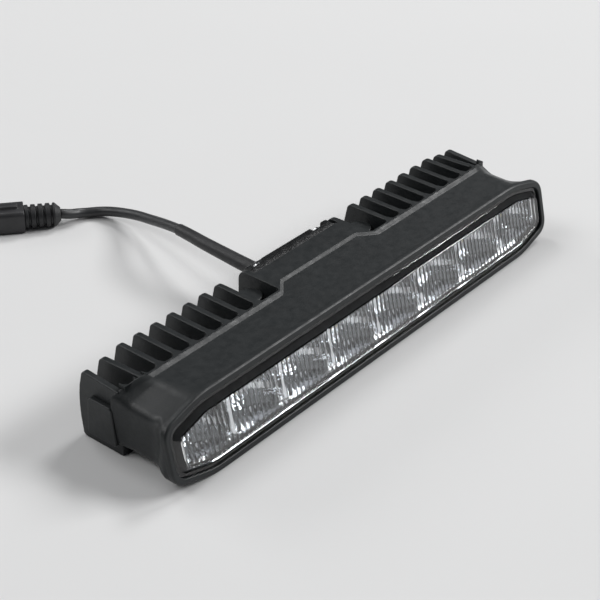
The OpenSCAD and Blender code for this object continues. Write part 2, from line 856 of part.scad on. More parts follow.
housing();
lens();
lens_gasket();
reflector();
led_board();
led_chip(1);  // led_chip_1
led_chip(2);  // led_chip_2
led_chip(3);  // led_chip_3
led_chip(4);  // led_chip_4
led_chip(5);  // led_chip_5
led_chip(6);  // led_chip_6
led_chip(7);  // led_chip_7
led_chip(8);  // led_chip_8
led_dome(1);  // led_dome_1
led_dome(2);  // led_dome_2
led_dome(3);  // led_dome_3
led_dome(4);  // led_dome_4
led_dome(5);  // led_dome_5
led_dome(6);  // led_dome_6
led_dome(7);  // led_dome_7
led_dome(8);  // led_dome_8
thermal_pad();
board_screws();
driver_board();
driver_inductor();
driver_capacitors();
driver_controller();
driver_transistor();
driver_screws();
link_wires();
supply_wires();
rear_cover();
cover_gasket();
cover_screws();
breather_vent();
gland_body();
gland_nut();
gland_seal();
cable_sleeve();
cable();
connector_boot();
connector_body();
connector_seal();
connector_contacts();
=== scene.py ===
"""Driving light on a pale studio floor: cable, castings, optics, finishes, lamps and camera.

Shapes are worked out in millimetres in the light's own drawing frame and turned to metres
at the end. In that frame X runs along the bar, Y to the rear and Z up.
"""

import math

import bmesh
import bpy
from mathutils import Matrix, Vector


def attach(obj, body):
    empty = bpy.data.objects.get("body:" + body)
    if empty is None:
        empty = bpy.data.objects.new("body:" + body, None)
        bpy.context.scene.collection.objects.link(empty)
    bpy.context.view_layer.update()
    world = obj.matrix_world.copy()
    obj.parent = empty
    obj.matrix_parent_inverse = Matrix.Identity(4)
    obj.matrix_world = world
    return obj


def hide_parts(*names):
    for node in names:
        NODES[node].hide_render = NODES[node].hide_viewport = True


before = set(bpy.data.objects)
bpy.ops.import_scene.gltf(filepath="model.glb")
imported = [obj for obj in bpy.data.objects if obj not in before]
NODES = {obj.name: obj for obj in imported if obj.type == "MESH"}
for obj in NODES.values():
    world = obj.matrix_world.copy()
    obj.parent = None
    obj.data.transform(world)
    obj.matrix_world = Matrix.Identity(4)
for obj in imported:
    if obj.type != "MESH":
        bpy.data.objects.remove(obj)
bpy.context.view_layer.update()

# Sizes that several pieces share, in millimetres, with angles in radians
SHIFT_Y = 30.4
LENGTH = 270.0
HALF = LENGTH / 2
FACE_H = 36.4
MID_H = FACE_H / 2
LEAN = math.radians(14)
OUT_OF_FACE = (0, -math.cos(LEAN), math.sin(LEAN))
TOP_Z = FACE_H * math.cos(LEAN)
CORNER_W = 22.0
CORNER_DROP = 5.3
CORNER_H = CORNER_DROP / math.cos(LEAN)
CELLS = 8
CELL_PITCH = (LENGTH - 11.6) / CELLS
COVER_BACK = 58.8
GLAND_END = 68.0
CABLE_X = -10.0
CABLE_Z = 21.0
CABLE_R = 2.5
BOOT_R = 6.0
BOOT_LEN = 18.0
BOOT_AT = Vector((-15, 192, BOOT_R))
BOOT_TURN = math.radians(141)
ALONG_BOOT = Vector((math.cos(BOOT_TURN), math.sin(BOOT_TURN), 0))


def scene_point(p):
    """A point of the drawing frame, in metres in the scene."""
    return Vector((p[0] / 1000, (p[1] - SHIFT_Y) / 1000, p[2] / 1000))


def on_face(u, w, depth):
    """A point by its place along and up the sloping face, and its depth behind it."""
    y = w * math.sin(LEAN) + depth * math.cos(LEAN)
    return u, y, w * math.cos(LEAN) - depth * math.sin(LEAN)


# Camera: fitted to the photograph, its place in metres and its angles in degrees
CAMERA_AT = (-0.49311, -0.37684, 0.41437)
CAMERA_AZIMUTH = -51.235
CAMERA_ELEVATION = 32.755
CAMERA_ROLL = 1.155
CAMERA_LENS = 98.2


def add_camera():
    azimuth = math.radians(CAMERA_AZIMUTH)
    elevation = math.radians(CAMERA_ELEVATION)
    roll = math.radians(CAMERA_ROLL)
    back = Vector((
        math.sin(azimuth) * math.cos(elevation),
        -math.cos(azimuth) * math.cos(elevation),
        math.sin(elevation),
    ))
    right = (-back).cross(Vector((0, 0, 1))).normalized()
    up = right.cross(-back)
    turned_right = math.cos(roll) * right + math.sin(roll) * up
    turned_up = -math.sin(roll) * right + math.cos(roll) * up
    data = bpy.data.cameras.new("photo_camera")
    data.lens = CAMERA_LENS
    data.sensor_width = 36
    data.clip_end = 50
    camera = bpy.data.objects.new("photo_camera", data)
    bpy.context.scene.collection.objects.link(camera)
    turn = Matrix((turned_right, turned_up, back)).transposed().to_4x4()
    camera.matrix_world = Matrix.Translation(CAMERA_AT) @ turn
    bpy.context.scene.camera = camera


# Mesh helpers
def new_object(name, mesh):
    made = bpy.data.objects.new(name, mesh)
    bpy.context.scene.collection.objects.link(made)
    return made


def ring_faces(rings, count):
    """Faces between rings of points that have the same count."""
    return [
        (r * count + k, r * count + (k + 1) % count,
         (r + 1) * count + (k + 1) % count, (r + 1) * count + k)
        for r in range(rings - 1) for k in range(count)
    ]


def object_from(bm, name):
    """A finished bmesh as an object."""
    mesh = bpy.data.meshes.new(name)
    bm.to_mesh(mesh)
    bm.free()
    return new_object(name, mesh)


def mend(mesh, distance=1e-7):
    """Merges a mesh's doubles and turns its faces outwards."""
    bm = bmesh.new()
    bm.from_mesh(mesh)
    bmesh.ops.remove_doubles(bm, verts=bm.verts, dist=distance)
    bmesh.ops.recalc_face_normals(bm, faces=bm.faces)
    bm.to_mesh(mesh)
    bm.free()


def mesh_object(name, points, faces):
    """A closed solid from points and faces, in the units of its points."""
    mesh = bpy.data.meshes.new(name)
    mesh.from_pydata([tuple(p) for p in points], [], faces)
    mend(mesh)
    return new_object(name, mesh)


def smooth_by_angle(made, degrees):
    """Shades a mesh smooth, apart from edges sharper than the angle."""
    mesh = made.data
    mesh.shade_smooth()
    mesh.set_sharp_from_angle(angle=math.radians(degrees))


def applied(made, name):
    """A plain mesh object in place of one with modifiers."""
    depsgraph = bpy.context.evaluated_depsgraph_get()
    mesh = bpy.data.meshes.new_from_object(made.evaluated_get(depsgraph))
    bpy.data.objects.remove(made)
    mesh.name = name
    return new_object(name, mesh)


def corner_room(bm, smooth_below):
    """The shortest edge that runs off each sharp edge's ends, as room for its bevel."""
    room = {}
    for edge in bm.edges:
        if not edge.is_manifold or edge.calc_face_angle(0) < smooth_below:
            continue
        others = {other for vert in edge.verts for other in vert.link_edges} - {edge}
        room[edge] = min(other.calc_length() for other in others)
    return room


# Angles in degrees, the farthest that doubles lie apart in metres, and the share of the
# room beside an edge that its rounding takes
FLAT_BELOW = 0.6
SHARP_ABOVE = 28
DOUBLES = 2e-6
ROOM_SHARE = 0.42


def softened_copy(node, name, width):
    """A copy of a moulded part with its loose triangles joined and its edges rounded."""
    bm = bmesh.new()
    bm.from_mesh(NODES[node].data)
    bmesh.ops.remove_doubles(bm, verts=bm.verts, dist=DOUBLES)
    bmesh.ops.dissolve_limit(
        bm, angle_limit=math.radians(FLAT_BELOW), verts=bm.verts[:], edges=bm.edges[:],
        use_dissolve_boundaries=False,
    )
    weight = bm.edges.layers.float.new("bevel_weight_edge")
    for edge, room in corner_room(bm, math.radians(SHARP_ABOVE)).items():
        edge[weight] = max(0.0, min(1.0, ROOM_SHARE * room / width))
    made = object_from(bm, name + "_sharp")
    bevel = made.modifiers.new("edges", "BEVEL")
    bevel.width = width
    bevel.segments = 2
    bevel.limit_method = "WEIGHT"
    bevel.use_clamp_overlap = False
    bevel.harden_normals = False
    made = applied(made, name)
    smooth_by_angle(made, 34)
    return made


# Shape trees
class Number:
    """A number that nodes work out, so that a formula of them reads as plain arithmetic."""

    def __init__(self, tree, result):
        self.tree = tree
        self.result = result

    def __add__(self, other):
        return self.tree.math("ADD", self, other)

    def __sub__(self, other):
        return self.tree.math("SUBTRACT", self, other)

    def __rsub__(self, other):
        return self.tree.math("SUBTRACT", other, self)

    def __mul__(self, other):
        return self.tree.math("MULTIPLY", self, other)

    def __truediv__(self, other):
        return self.tree.math("DIVIDE", self, other)

    def __pow__(self, other):
        return self.tree.math("POWER", self, other)

    def __neg__(self):
        return self.tree.math("MULTIPLY", self, -1.0)

    __radd__ = __add__
    __rmul__ = __mul__


class ShapeTree:
    """A geometry node tree with a named input for each size."""

    def __init__(self, name):
        self.name = name
        self.group = bpy.data.node_groups.new(name, "GeometryNodeTree")
        self.group.is_modifier = True
        self.socket("Geometry", "OUTPUT", "NodeSocketGeometry")
        self.socket("Geometry", "INPUT", "NodeSocketGeometry")
        self.start = self.group.nodes.new("NodeGroupInput")
        self.end = self.group.nodes.new("NodeGroupOutput")
        self.values = {}

    @property
    def given(self):
        """The shape that the tree starts from."""
        return self.start.outputs["Geometry"]

    def socket(self, name, side, kind):
        return self.group.interface.new_socket(name, in_out=side, socket_type=kind)

    def size(self, name, value, kind="NodeSocketFloat"):
        """Adds a named input and gives the number that it carries."""
        self.values[self.socket(name, "INPUT", kind).identifier] = value
        return Number(self, self.start.outputs[name])

    def feed(self, socket, value):
        """Links a node's result to a socket, or sets the socket to a plain value."""
        if isinstance(value, Number):
            value = value.result
        if isinstance(value, bpy.types.NodeSocket):
            self.group.links.new(value, socket)
        else:
            socket.default_value = value

    def node(self, kind, inputs=None, **settings):
        made = self.group.nodes.new(kind)
        for key, value in settings.items():
            setattr(made, key, value)
        for key, value in (inputs or {}).items():
            self.feed(made.inputs[key], value)
        return made

    def shape(self, kind, inputs=None, **settings):
        """Adds a node and gives its first result."""
        return self.node(kind, inputs, **settings).outputs[0]

    def math(self, operation, *values):
        inputs = dict(enumerate(values))
        return Number(self, self.shape("ShaderNodeMath", inputs, operation=operation))

    def least(self, *values):
        return self.math("MINIMUM", *values)

    def most(self, *values):
        return self.math("MAXIMUM", *values)

    def fraction(self, number):
        """How far a number is past the whole number below it."""
        return self.math("FRACT", number)

    def place(self):
        """The X, Y and Z of each point."""
        position = self.shape("GeometryNodeInputPosition")
        parts = self.node("ShaderNodeSeparateXYZ", {0: position}).outputs
        return [Number(self, part) for part in parts]

    def point(self, x, y, z):
        return self.shape("ShaderNodeCombineXYZ", {0: x, 1: y, 2: z})

    def moved(self, geometry, x, y, z):
        """A shape carried along each axis."""
        return self.shape("GeometryNodeTransform", {
            "Geometry": geometry, "Translation": self.point(x, y, z),
        })

    def named(self, name, data_type="FLOAT"):
        made = self.node("GeometryNodeInputNamedAttribute", {"Name": name}, data_type=data_type)
        return Number(self, made.outputs["Attribute"])

    def store(self, geometry, name, value):
        return self.shape(
            "GeometryNodeStoreNamedAttribute", {"Geometry": geometry, "Name": name, "Value": value},
            data_type="FLOAT", domain="POINT",
        )

    def run(self, geometry, material, base):
        """Ends the tree and runs it on an object, as a plain mesh."""
        realized = self.shape("GeometryNodeRealizeInstances", {"Geometry": geometry})
        dressed = self.shape(
            "GeometryNodeSetMaterial", {"Geometry": realized, "Material": material}
        )
        self.feed(self.end.inputs[0], dressed)
        step = base.modifiers.new(self.name, "NODES")
        step.node_group = self.group
        for identifier, value in self.values.items():
            step[identifier] = value
        return applied(base, self.name)


# Finishes, and the part of its range that a noise mostly keeps to
NOISE_LOW = 0.3
NOISE_HIGH = 0.7


class Finish:
    """One material with helpers for its node pattern on Object coordinates."""

    def __init__(self, name, colour, roughness, metallic=0.0, **sockets):
        self.material = bpy.data.materials.new(name)
        self.material.use_nodes = True
        self.tree = self.material.node_tree
        self.shader = self.tree.nodes["Principled BSDF"]
        self.shader.inputs["Base Color"].default_value = (*colour, 1)
        self.shader.inputs["Roughness"].default_value = roughness
        self.shader.inputs["Metallic"].default_value = metallic
        for key, value in sockets.items():
            self.shader.inputs[key.replace("_", " ")].default_value = value
        self.colour = colour
        self.roughness = roughness
        self.place = self.node("ShaderNodeTexCoord").outputs["Object"]
        self.bumped = None

    def node(self, kind, **values):
        made = self.tree.nodes.new(kind)
        for key, value in values.items():
            setattr(made, key, value)
        return made

    def link(self, source, target):
        self.tree.links.new(source, target)

    def stretched(self, scale, turn=(0, 0, 0)):
        mapping = self.node("ShaderNodeMapping")
        mapping.inputs["Scale"].default_value = scale
        mapping.inputs["Rotation"].default_value = turn
        self.link(self.place, mapping.inputs["Vector"])
        return mapping.outputs["Vector"]

    def noise(self, scale, detail, vector=None):
        noise = self.node("ShaderNodeTexNoise")
        noise.inputs["Scale"].default_value = scale
        noise.inputs["Detail"].default_value = detail
        noise.inputs["Roughness"].default_value = 0.55
        self.link(vector or self.place, noise.inputs["Vector"])
        return noise.outputs["Fac"]

    def ramp(self, value, low, high):
        """A number between two, led by a noise."""
        ramp = self.node("ShaderNodeMapRange")
        ramp.inputs["From Min"].default_value = NOISE_LOW
        ramp.inputs["From Max"].default_value = NOISE_HIGH
        ramp.inputs["To Min"].default_value = low
        ramp.inputs["To Max"].default_value = high
        self.link(value, ramp.inputs["Value"])
        return ramp.outputs["Result"]

    def blend(self, value, low, high):
        """A colour between two, led by a noise."""
        ramp = self.node("ShaderNodeValToRGB")
        ramp.color_ramp.elements[0].position = NOISE_LOW
        ramp.color_ramp.elements[0].color = (*low, 1)
        ramp.color_ramp.elements[1].position = NOISE_HIGH
        ramp.color_ramp.elements[1].color = (*high, 1)
        self.link(value, ramp.inputs["Fac"])
        return ramp.outputs["Color"]

    def mottle(self, scale, amount, detail=3.0):
        """Uneven colour around the base colour."""
        low = tuple(c * (1 - amount) for c in self.colour)
        high = tuple(min(1, c * (1 + amount)) for c in self.colour)
        colour = self.blend(self.noise(scale, detail), low, high)
        self.link(colour, self.shader.inputs["Base Color"])
        return self

    def sheen_patches(self, scale, spread, detail=3.0):
        """Uneven roughness around the base roughness."""
        value = self.ramp(
            self.noise(scale, detail), max(0, self.roughness - spread), self.roughness + spread
        )
        self.link(value, self.shader.inputs["Roughness"])
        return self

    def relief(self, value, depth):
        """Adds a bump of a depth in millimetres."""
        bump = self.node("ShaderNodeBump")
        bump.inputs["Distance"].default_value = depth / 1000
        self.link(value, bump.inputs["Height"])
        if self.bumped is not None:
            self.link(self.bumped, bump.inputs["Normal"])
        self.bumped = bump.outputs["Normal"]
        self.link(self.bumped, self.shader.inputs["Normal"])
        return self

    def grain(self, scale, depth, detail=2.0, vector=None):
        return self.relief(self.noise(scale, detail, vector), depth)


def powder_coat():
    made = Finish("powder_coat", (0.012, 0.0142, 0.0152), 0.42, Specular_IOR_Level=0.4)
    made.mottle(90, 0.12, 4).sheen_patches(260, 0.07)
    made.grain(900, 0.05, 2).grain(3200, 0.012, 1)
    return made.material


def textured_cover():
    made = Finish("textured_cover", (0.004, 0.0045, 0.005), 0.38, Specular_IOR_Level=0.3)
    made.mottle(420, 0.55).sheen_patches(700, 0.1)
    made.grain(420, 0.6, 3).grain(1800, 0.1, 2)
    return made.material


def clear_polycarbonate():
    made = Finish(
        "clear_polycarbonate", (0.97, 0.985, 0.99), 0.015, IOR=1.58, Transmission_Weight=1.0
    )
    made.sheen_patches(35, 0.012)
    return made.material


def black_rubber(name, roughness=0.7):
    made = Finish(name, (0.016, 0.0165, 0.018), roughness)
    made.mottle(150, 0.25).sheen_patches(400, 0.08).grain(800, 0.03)
    return made.material


def metallised():
    made = Finish("metallised", (0.86, 0.87, 0.89), 0.09, 1.0)
    made.mottle(70, 0.04).sheen_patches(500, 0.04)
    return made.material


def solder_mask(name, turn):
    made = Finish(name, (0.02, 0.09, 0.05), 0.32, Coat_Weight=0.3)
    tracks = made.node("ShaderNodeTexBrick")
    tracks.inputs["Scale"].default_value = 110
    tracks.inputs["Mortar Size"].default_value = 0.06
    tracks.inputs["Color1"].default_value = (0.022, 0.1, 0.055, 1)
    tracks.inputs["Color2"].default_value = (0.018, 0.085, 0.048, 1)
    tracks.inputs["Mortar"].default_value = (0.05, 0.17, 0.09, 1)
    made.link(made.stretched((1, 1, 1), turn), tracks.inputs["Vector"])
    made.link(tracks.outputs["Color"], made.shader.inputs["Base Color"])
    made.relief(tracks.outputs["Fac"], 0.04)
    return made.material


def steel(name):
    made = Finish(name, (0.62, 0.63, 0.64), 0.24, 1.0)
    made.mottle(300, 0.08).sheen_patches(900, 0.08)
    made.grain(2400, 0.008, 2, made.stretched((1, 1, 0.1)))
    return made.material


def moulded(name, colour, roughness):
    made = Finish(name, colour, roughness)
    made.mottle(140, 0.15).sheen_patches(350, 0.07).grain(1500, 0.02)
    return made.material


def clear_silicone():
    made = Finish("clear_silicone", (0.95, 0.96, 0.97), 0.05, IOR=1.41, Transmission_Weight=1.0)
    made.sheen_patches(500, 0.03)
    return made.material


def capacitor_can():
    made = Finish("capacitor_can", (0.7, 0.71, 0.73), 0.3, 1.0)
    made.mottle(200, 0.06).grain(1500, 0.01)
    return made.material


def tinned_contacts():
    made = Finish("tinned_contacts", (0.8, 0.7, 0.45), 0.25, 1.0)
    made.mottle(400, 0.1)
    return made.material


def cable_jacket():
    made = Finish("cable_jacket", (0.026, 0.027, 0.029), 0.42)
    made.mottle(120, 0.2).sheen_patches(240, 0.08).grain(1500, 0.02)
    return made.material


# Cable: its route, the points that the curve through it has for each stretch, and the
# route's points between which the sleeve lies
ROUTE = [
    (-10, 36, 21), (-10, 48, 21), (-10, 58, 21), (-10, 68, 21), (-9.5, 78, 21),
    (-8.8, 88, 21), (-7.6, 101, 20.8), (-5.6, 111.5, 20), (-3, 122.5, 18.4),
    (0.6, 135, 15), (4.2, 148, 11), (6.6, 160, 7.8), (7, 170.5, 5.2), (5.4, 178, 3.8),
    (2.4, 183.4, 3), (-1.6, 186.8, 2.9), (-6, 189, 3.6), (-10.6, 189.9, 4.8),
    tuple(BOOT_AT), tuple(BOOT_AT + 6 * ALONG_BOOT),
]
ROUTE_STEPS = 8
SLEEVE_FROM = 3
SLEEVE_TO = 8
JACKET_SIDES = 24


def smooth_route(points, steps):
    """Points along the curve through the given ones, apart from the first and last."""
    points = [Vector(p) for p in points]
    path = []
    for i in range(1, len(points) - 2):
        a, b, c, d = points[i - 1:i + 3]
        for k in range(steps):
            t = k / steps
            path.append(0.5 * (
                2 * b + (c - a) * t + (2 * a - 5 * b + 4 * c - d) * t * t
                + (3 * b - a - 3 * c + d) * t ** 3
            ))
    return path + [points[-2]]


def tube(name, path, radius, sides):
    """A closed tube in the scene, round a path in millimetres."""
    points, faces = [], []
    for i, centre in enumerate(path):
        ahead = path[min(i + 1, len(path) - 1)] - path[max(i - 1, 0)]
        ahead.normalize()
        side = ahead.cross(Vector((0, 0, 1))).normalized()
        over = side.cross(ahead)
        for k in range(sides):
            a = math.tau * k / sides
            points.append(scene_point(centre + radius * (math.cos(a) * side + math.sin(a) * over)))
    faces += ring_faces(len(path), sides)
    faces.append(tuple(range(sides)))
    faces.append(tuple(reversed(range((len(path) - 1) * sides, len(path) * sides))))
    made = mesh_object(name, points, faces)
    smooth_by_angle(made, 50)
    return made


def add_cable():
    """The cable's jacket, its centreline in millimetres, where it starts and its length."""
    path = smooth_route(ROUTE, ROUTE_STEPS)
    jacket = tube("cable_jacket", path, CABLE_R, JACKET_SIDES)
    jacket.data.materials.append(cable_jacket())
    exit_point = scene_point((CABLE_X, GLAND_END, CABLE_Z))
    length = sum((b - a).length for a, b in zip(path, path[1:])) / 1000
    return jacket, path, exit_point, length


# Outline of the face, and how far from a corner its rounding starts
CORNER_CUT = math.hypot(CORNER_W, CORNER_H)
CORNER_REACH = 6.5
LEAST_REACH = 2.5


def corner_curve(start, corner, end, steps):
    """A round stretch that leaves towards the corner and turns to the end."""
    curve = []
    for k in range(steps + 1):
        t = k / steps
        curve.append((1 - t) ** 2 * start + 2 * t * (1 - t) * corner + t * t * end)
    return curve


def soft_corners(points, reach, steps):
    """Rounds each corner of a flat polygon, starting and ending a reach from it."""
    soft = []
    for i, point in enumerate(points):
        before, after = Vector(points[i - 1]), Vector(points[(i + 1) % len(points)])
        corner = Vector(point)
        start = corner + (before - corner).normalized() * reach
        end = corner + (after - corner).normalized() * reach
        soft += corner_curve(start, corner, end, steps)
    return soft


def flat_x(inset):
    """Where the outline's long sides end, set in."""
    return HALF - CORNER_W - inset * (CORNER_CUT - CORNER_W) / CORNER_H


def wall_h(inset):
    """Half the height of the outline's upright ends, set in."""
    return MID_H - CORNER_H - inset * (CORNER_CUT - CORNER_H) / CORNER_W


def outline(inset):
    """The face's outline, set in, as (along, up) pairs with rounded corners."""
    wide, narrow, tall = HALF - inset, flat_x(inset), wall_h(inset)
    low, high = inset, FACE_H - inset
    sharp = [
        (narrow, low), (wide, MID_H - tall), (wide, MID_H + tall), (narrow, high),
        (-narrow, high), (-wide, MID_H + tall), (-wide, MID_H - tall), (-narrow, low),
    ]
    return soft_corners(sharp, max(LEAST_REACH, CORNER_REACH - 0.5 * inset), 8)


def span_at(u, loop):
    """Lowest and highest w of a closed convex loop at one place along the bar."""
    crossings = []
    for a, b in zip(loop, loop[1:] + loop[:1]):
        if a[0] != b[0] and min(a[0], b[0]) <= u <= max(a[0], b[0]):
            crossings.append(a[1] + (b[1] - a[1]) * (u - a[0]) / (b[0] - a[0]))
    return min(crossings), max(crossings)


# Cast housing: the body, its lip and its top plate
BODY_DEPTH = 33.6
BODY_FRONT = 1.0
PLATE_DROP = 1.0
LIP_W = 3.0
LIP_DEPTH = 3.0

# Its fins, and how their roots swing to the rear and fall near the ends
FIN_COUNT = 9
FIN_T = 3.0
FIRST_FIN = 47.0
LAST_FIN = HALF - 7.75
FIN_PITCH = (LAST_FIN - FIRST_FIN) / (FIN_COUNT - 1)
SLOT_R = (FIN_PITCH - FIN_T) / 2
TIP_Y = BODY_DEPTH + 25.2
FIN_BULGE = 2.0
TIP_R = 2.8
SWING_SPAN = 18.5
SWING_FROM = HALF - 23
SWING_DEPTH = 6.4
SWING_POWER = 1.6
ROOT_FALL = 6.2
ROOT_FALL_POWER = 2.0
TIP_FALL = 3.16
TIP_FALL_POWER = 0.44
LAST_SLOT_DROP = 1.7
HEEL_T = 2.6

# Its driver block, ears, bays and mounting bosses; a fillet sinks into what it joins
BLOCK_HALF = 32.5
BLOCK_Y = BODY_DEPTH + 18.2
RIM_T = 8.0
EAR_T = 3.0
BAY_R = 3.4
SINK = 0.6
BOSS_X = (BLOCK_HALF + FIRST_FIN - FIN_T / 2) / 2
BOSS_Y = BODY_DEPTH + 12.4
BOSS_R = 5.5

# Its pockets, bores and screws
SEAT_DEPTH = 4.0
CAVITY_DEPTH = 18.5
CAVITY_INSET = 6.6
CHAMBER_HALF = 28.0
CHAMBER_LOW = 7.0
CHAMBER_HIGH = TOP_Z - 7.8
CHAMBER_FRONT = BLOCK_Y - 13.8
DRIVER_SEAT = CHAMBER_FRONT + 3
WIRE_BORE_END = 42.0
DRIVER_Z = (CHAMBER_LOW + CHAMBER_HIGH) / 2
COVER_SCREWS = [(-21, TOP_Z - 4.3), (21, TOP_Z - 4.3), (-21, 4), (21, 4)]
DRIVER_SCREWS = [(-24.8, DRIVER_Z), (24.8, DRIVER_Z)]
BOARD_SCREW_CELLS = (-3, -1, 1, 3)


# Solids in the drawing frame
ROD_SIDES = 40


def loft(name, rings):
    """A closed solid in millimetres through rings that have the same count."""
    points = [tuple(p) for ring in rings for p in ring]
    count = len(rings[0])
    faces = ring_faces(len(rings), count)
    faces.append(tuple(range(count)))
    faces.append(tuple(range((len(rings) - 1) * count, len(rings) * count)))
    return mesh_object(name, points, faces)


def slab_x(name, outline_yz, x, thickness):
    """An upright plate from its outline in Y and Z, with its middle at one X."""
    sides = (x - thickness / 2, x + thickness / 2)
    return loft(name, [[(side, p[0], p[1]) for p in outline_yz] for side in sides])


def slab_z(name, outline_xy, low, high):
    """A plate from its outline in X and Y, between two heights."""
    return loft(name, [[(p[0], p[1], z) for p in outline_xy] for z in (low, high)])


def box(name, low, high):
    corners = [(low[0], low[1]), (high[0], low[1]), (high[0], high[1]), (low[0], high[1])]
    return slab_z(name, corners, low[2], high[2])


def rod(name, start, direction, radius, length):
    """A round bar from a point, along a direction."""
    start, direction = Vector(start), Vector(direction).normalized()
    side = direction.orthogonal().normalized()
    over = direction.cross(side)
    turns = [math.tau * k / ROD_SIDES for k in range(ROD_SIDES)]
    circle = [radius * (math.cos(turn) * side + math.sin(turn) * over) for turn in turns]
    return loft(name, [[end + p for p in circle] for end in (start, start + direction * length)])


def rounded(made, width):
    """Rounds the edges of a simple solid."""
    bevel = made.modifiers.new("round", "BEVEL")
    bevel.width = width
    bevel.segments = 3
    bevel.limit_method = "ANGLE"
    bevel.angle_limit = math.radians(40)
    return applied(made, made.name)


def mirrored(made):
    """The same solid on the other side of the middle."""
    mesh = made.data.copy()
    mesh.transform(Matrix.Scale(-1, 4, (1, 0, 0)))
    mesh.flip_normals()
    return new_object(made.name + "_left", mesh)


def merged(name, parts):
    """Solids that don't touch each other, as one object."""
    bm = bmesh.new()
    for part in parts:
        bm.from_mesh(part.data)
        bpy.data.objects.remove(part)
    return object_from(bm, name)


def combined(base, added, cut):
    """The base with solids added to it and then cut from it."""
    for operation, parts in (("UNION", added), ("DIFFERENCE", cut)):
        for part in parts:
            step = base.modifiers.new(part.name, "BOOLEAN")
            step.operation = operation
            step.solver = "MANIFOLD"
            step.object = part
    base = applied(base, base.name)
    for part in added + cut:
        bpy.data.objects.remove(part)
    return base


def bend(x):
    """How far the fin roots swing to the rear near the ends."""
    past = max(0, abs(x) - SWING_FROM)
    return SWING_DEPTH * (past / SWING_SPAN) ** SWING_POWER


# Body sections: y, then how far the side, its corner, the flat top's end and the top
# are set in, and the share of the bend
STATIONS = [
    (-4, 1, 6.5, 22, 1, 0), (8, 1, 6.5, 22, 1, 0), (11.5, 2.2, 6.5, 21.6, 1, 0),
    (15, 4.6, 6.9, 20.8, 1, 0), (18, 5.5, 8, 20, 1, 0), (22, 5.7, 8.7, 19.4, 1, 0),
    (BODY_DEPTH - 5.6, 5.7, 8.5, 19, 1, 0.6), (BODY_DEPTH - 2.6, 5.1, 6.4, 17.5, 1, 1),
    (BODY_DEPTH - 1.2, 4.8, 5.9, 16.7, 0.4, 1), (BODY_DEPTH, 4.5, 5.6, 16, 0, 1),
    (BODY_DEPTH + 0.4, 4.5, 5.6, 16, 0, 1),
]
STATION_STEPS = 3


def section(station):
    """One section of the body, carried to the rear by its share of the bend."""
    y, side, corner, flat, drop, share = station
    wide, narrow, foot = HALF - side, HALF - flat, HALF - CORNER_W
    shoulder, top = TOP_Z - corner, TOP_Z - drop
    shape = soft_corners([
        (wide, CORNER_DROP), (wide, shoulder), (narrow, top), (-narrow, top),
        (-wide, shoulder), (-wide, CORNER_DROP), (-foot, 0), (foot, 0),
    ], 3.4, 6)
    return [(p[0], y + share * bend(p[0]), p[1]) for p in shape]


def eased(values, places, t):
    """A value between the middle two of four, on a curve that overshoots none of them."""
    step = places[2] - places[1]
    rise = values[2] - values[1]
    slopes = []
    for k in (1, 2):
        slope = (values[k + 1] - values[k - 1]) / (places[k + 1] - places[k - 1] or 1) * step
        if rise * slope <= 0:
            slope = 0
        slopes.append(max(-3 * abs(rise), min(3 * abs(rise), slope)))
    return (
        (2 * t ** 3 - 3 * t * t + 1) * values[1] + (t ** 3 - 2 * t * t + t) * slopes[0]
        + (3 * t * t - 2 * t ** 3) * values[2] + (t ** 3 - t * t) * slopes[1]
    )


def between_stations():
    """The body sections with eased ones between them."""
    padded = [STATIONS[0], *STATIONS, STATIONS[-1]]
    fine = []
    for i in range(len(STATIONS) - 1):
        four = padded[i:i + 4]
        places = [station[0] for station in four]
        for k in range(STATION_STEPS):
            t = k / STATION_STEPS
            fine.append(tuple(eased(values, places, t) for values in zip(*four)))
    return fine + [STATIONS[-1]]


def depth_ring(inset, depth, pulled=0.0):
    """The face's outline at a depth, in millimetres, where pulled moves it along Y alone."""
    ring = []
    for u, w in outline(inset):
        x, y, z = on_face(u, w, depth)
        ring.append((x, y + pulled / math.cos(LEAN), z))
    return ring


def make_lip():
    """The rim round the lens, with walls that run straight to the rear."""
    profile = [
        (0.9, 0), (0.58, 0.05), (0.3, 0.18), (0.1, 0.42), (0.01, 0.7), (0, 0.95),
        (0, LIP_DEPTH - 0.5), (0.08, LIP_DEPTH - 0.2), (0.3, LIP_DEPTH),
    ]
    return loft("lip", [depth_ring(inset, 0, pulled) for inset, pulled in profile])


def make_body():
    """The waisted body, cut off in front along the sloping face."""
    body = loft("cast_housing", [section(station) for station in between_stations()])
    well_past = [(-200, -60), (200, -60), (200, 80), (-200, 80)]
    rings = [[on_face(u, w, depth) for u, w in well_past] for depth in (-40, BODY_FRONT)]
    return combined(body, [], [loft("front_cut", rings)])


def make_first_fin():
    """One fin at the middle of the bar, with rounded edges."""
    corner = Vector((TIP_Y, TOP_Z))
    start, end = corner + Vector((0.3, -TIP_R)), corner - Vector((TIP_R, 0))
    root = BODY_DEPTH - 0.35
    shape = [(BODY_DEPTH - 2, 0), (BODY_DEPTH - 2, TOP_Z - 3), (root, TOP_Z - 1.5), (root, TOP_Z)]
    shape += reversed(corner_curve(start, corner, end, 8))
    for k in range(1, 8):
        share = 0.86 - 0.1 * k
        shape.append((TIP_Y + FIN_BULGE * (1 - (2 * share - 1) ** 2), share * TOP_Z))
    shape += [(TIP_Y + 0.6, 1.6), (TIP_Y + 0.1, 0.8), (TIP_Y - 0.6, 0.3), (TIP_Y - 1.8, 0)]
    return rounded(slab_x("fin", shape, 0, FIN_T), 0.55)


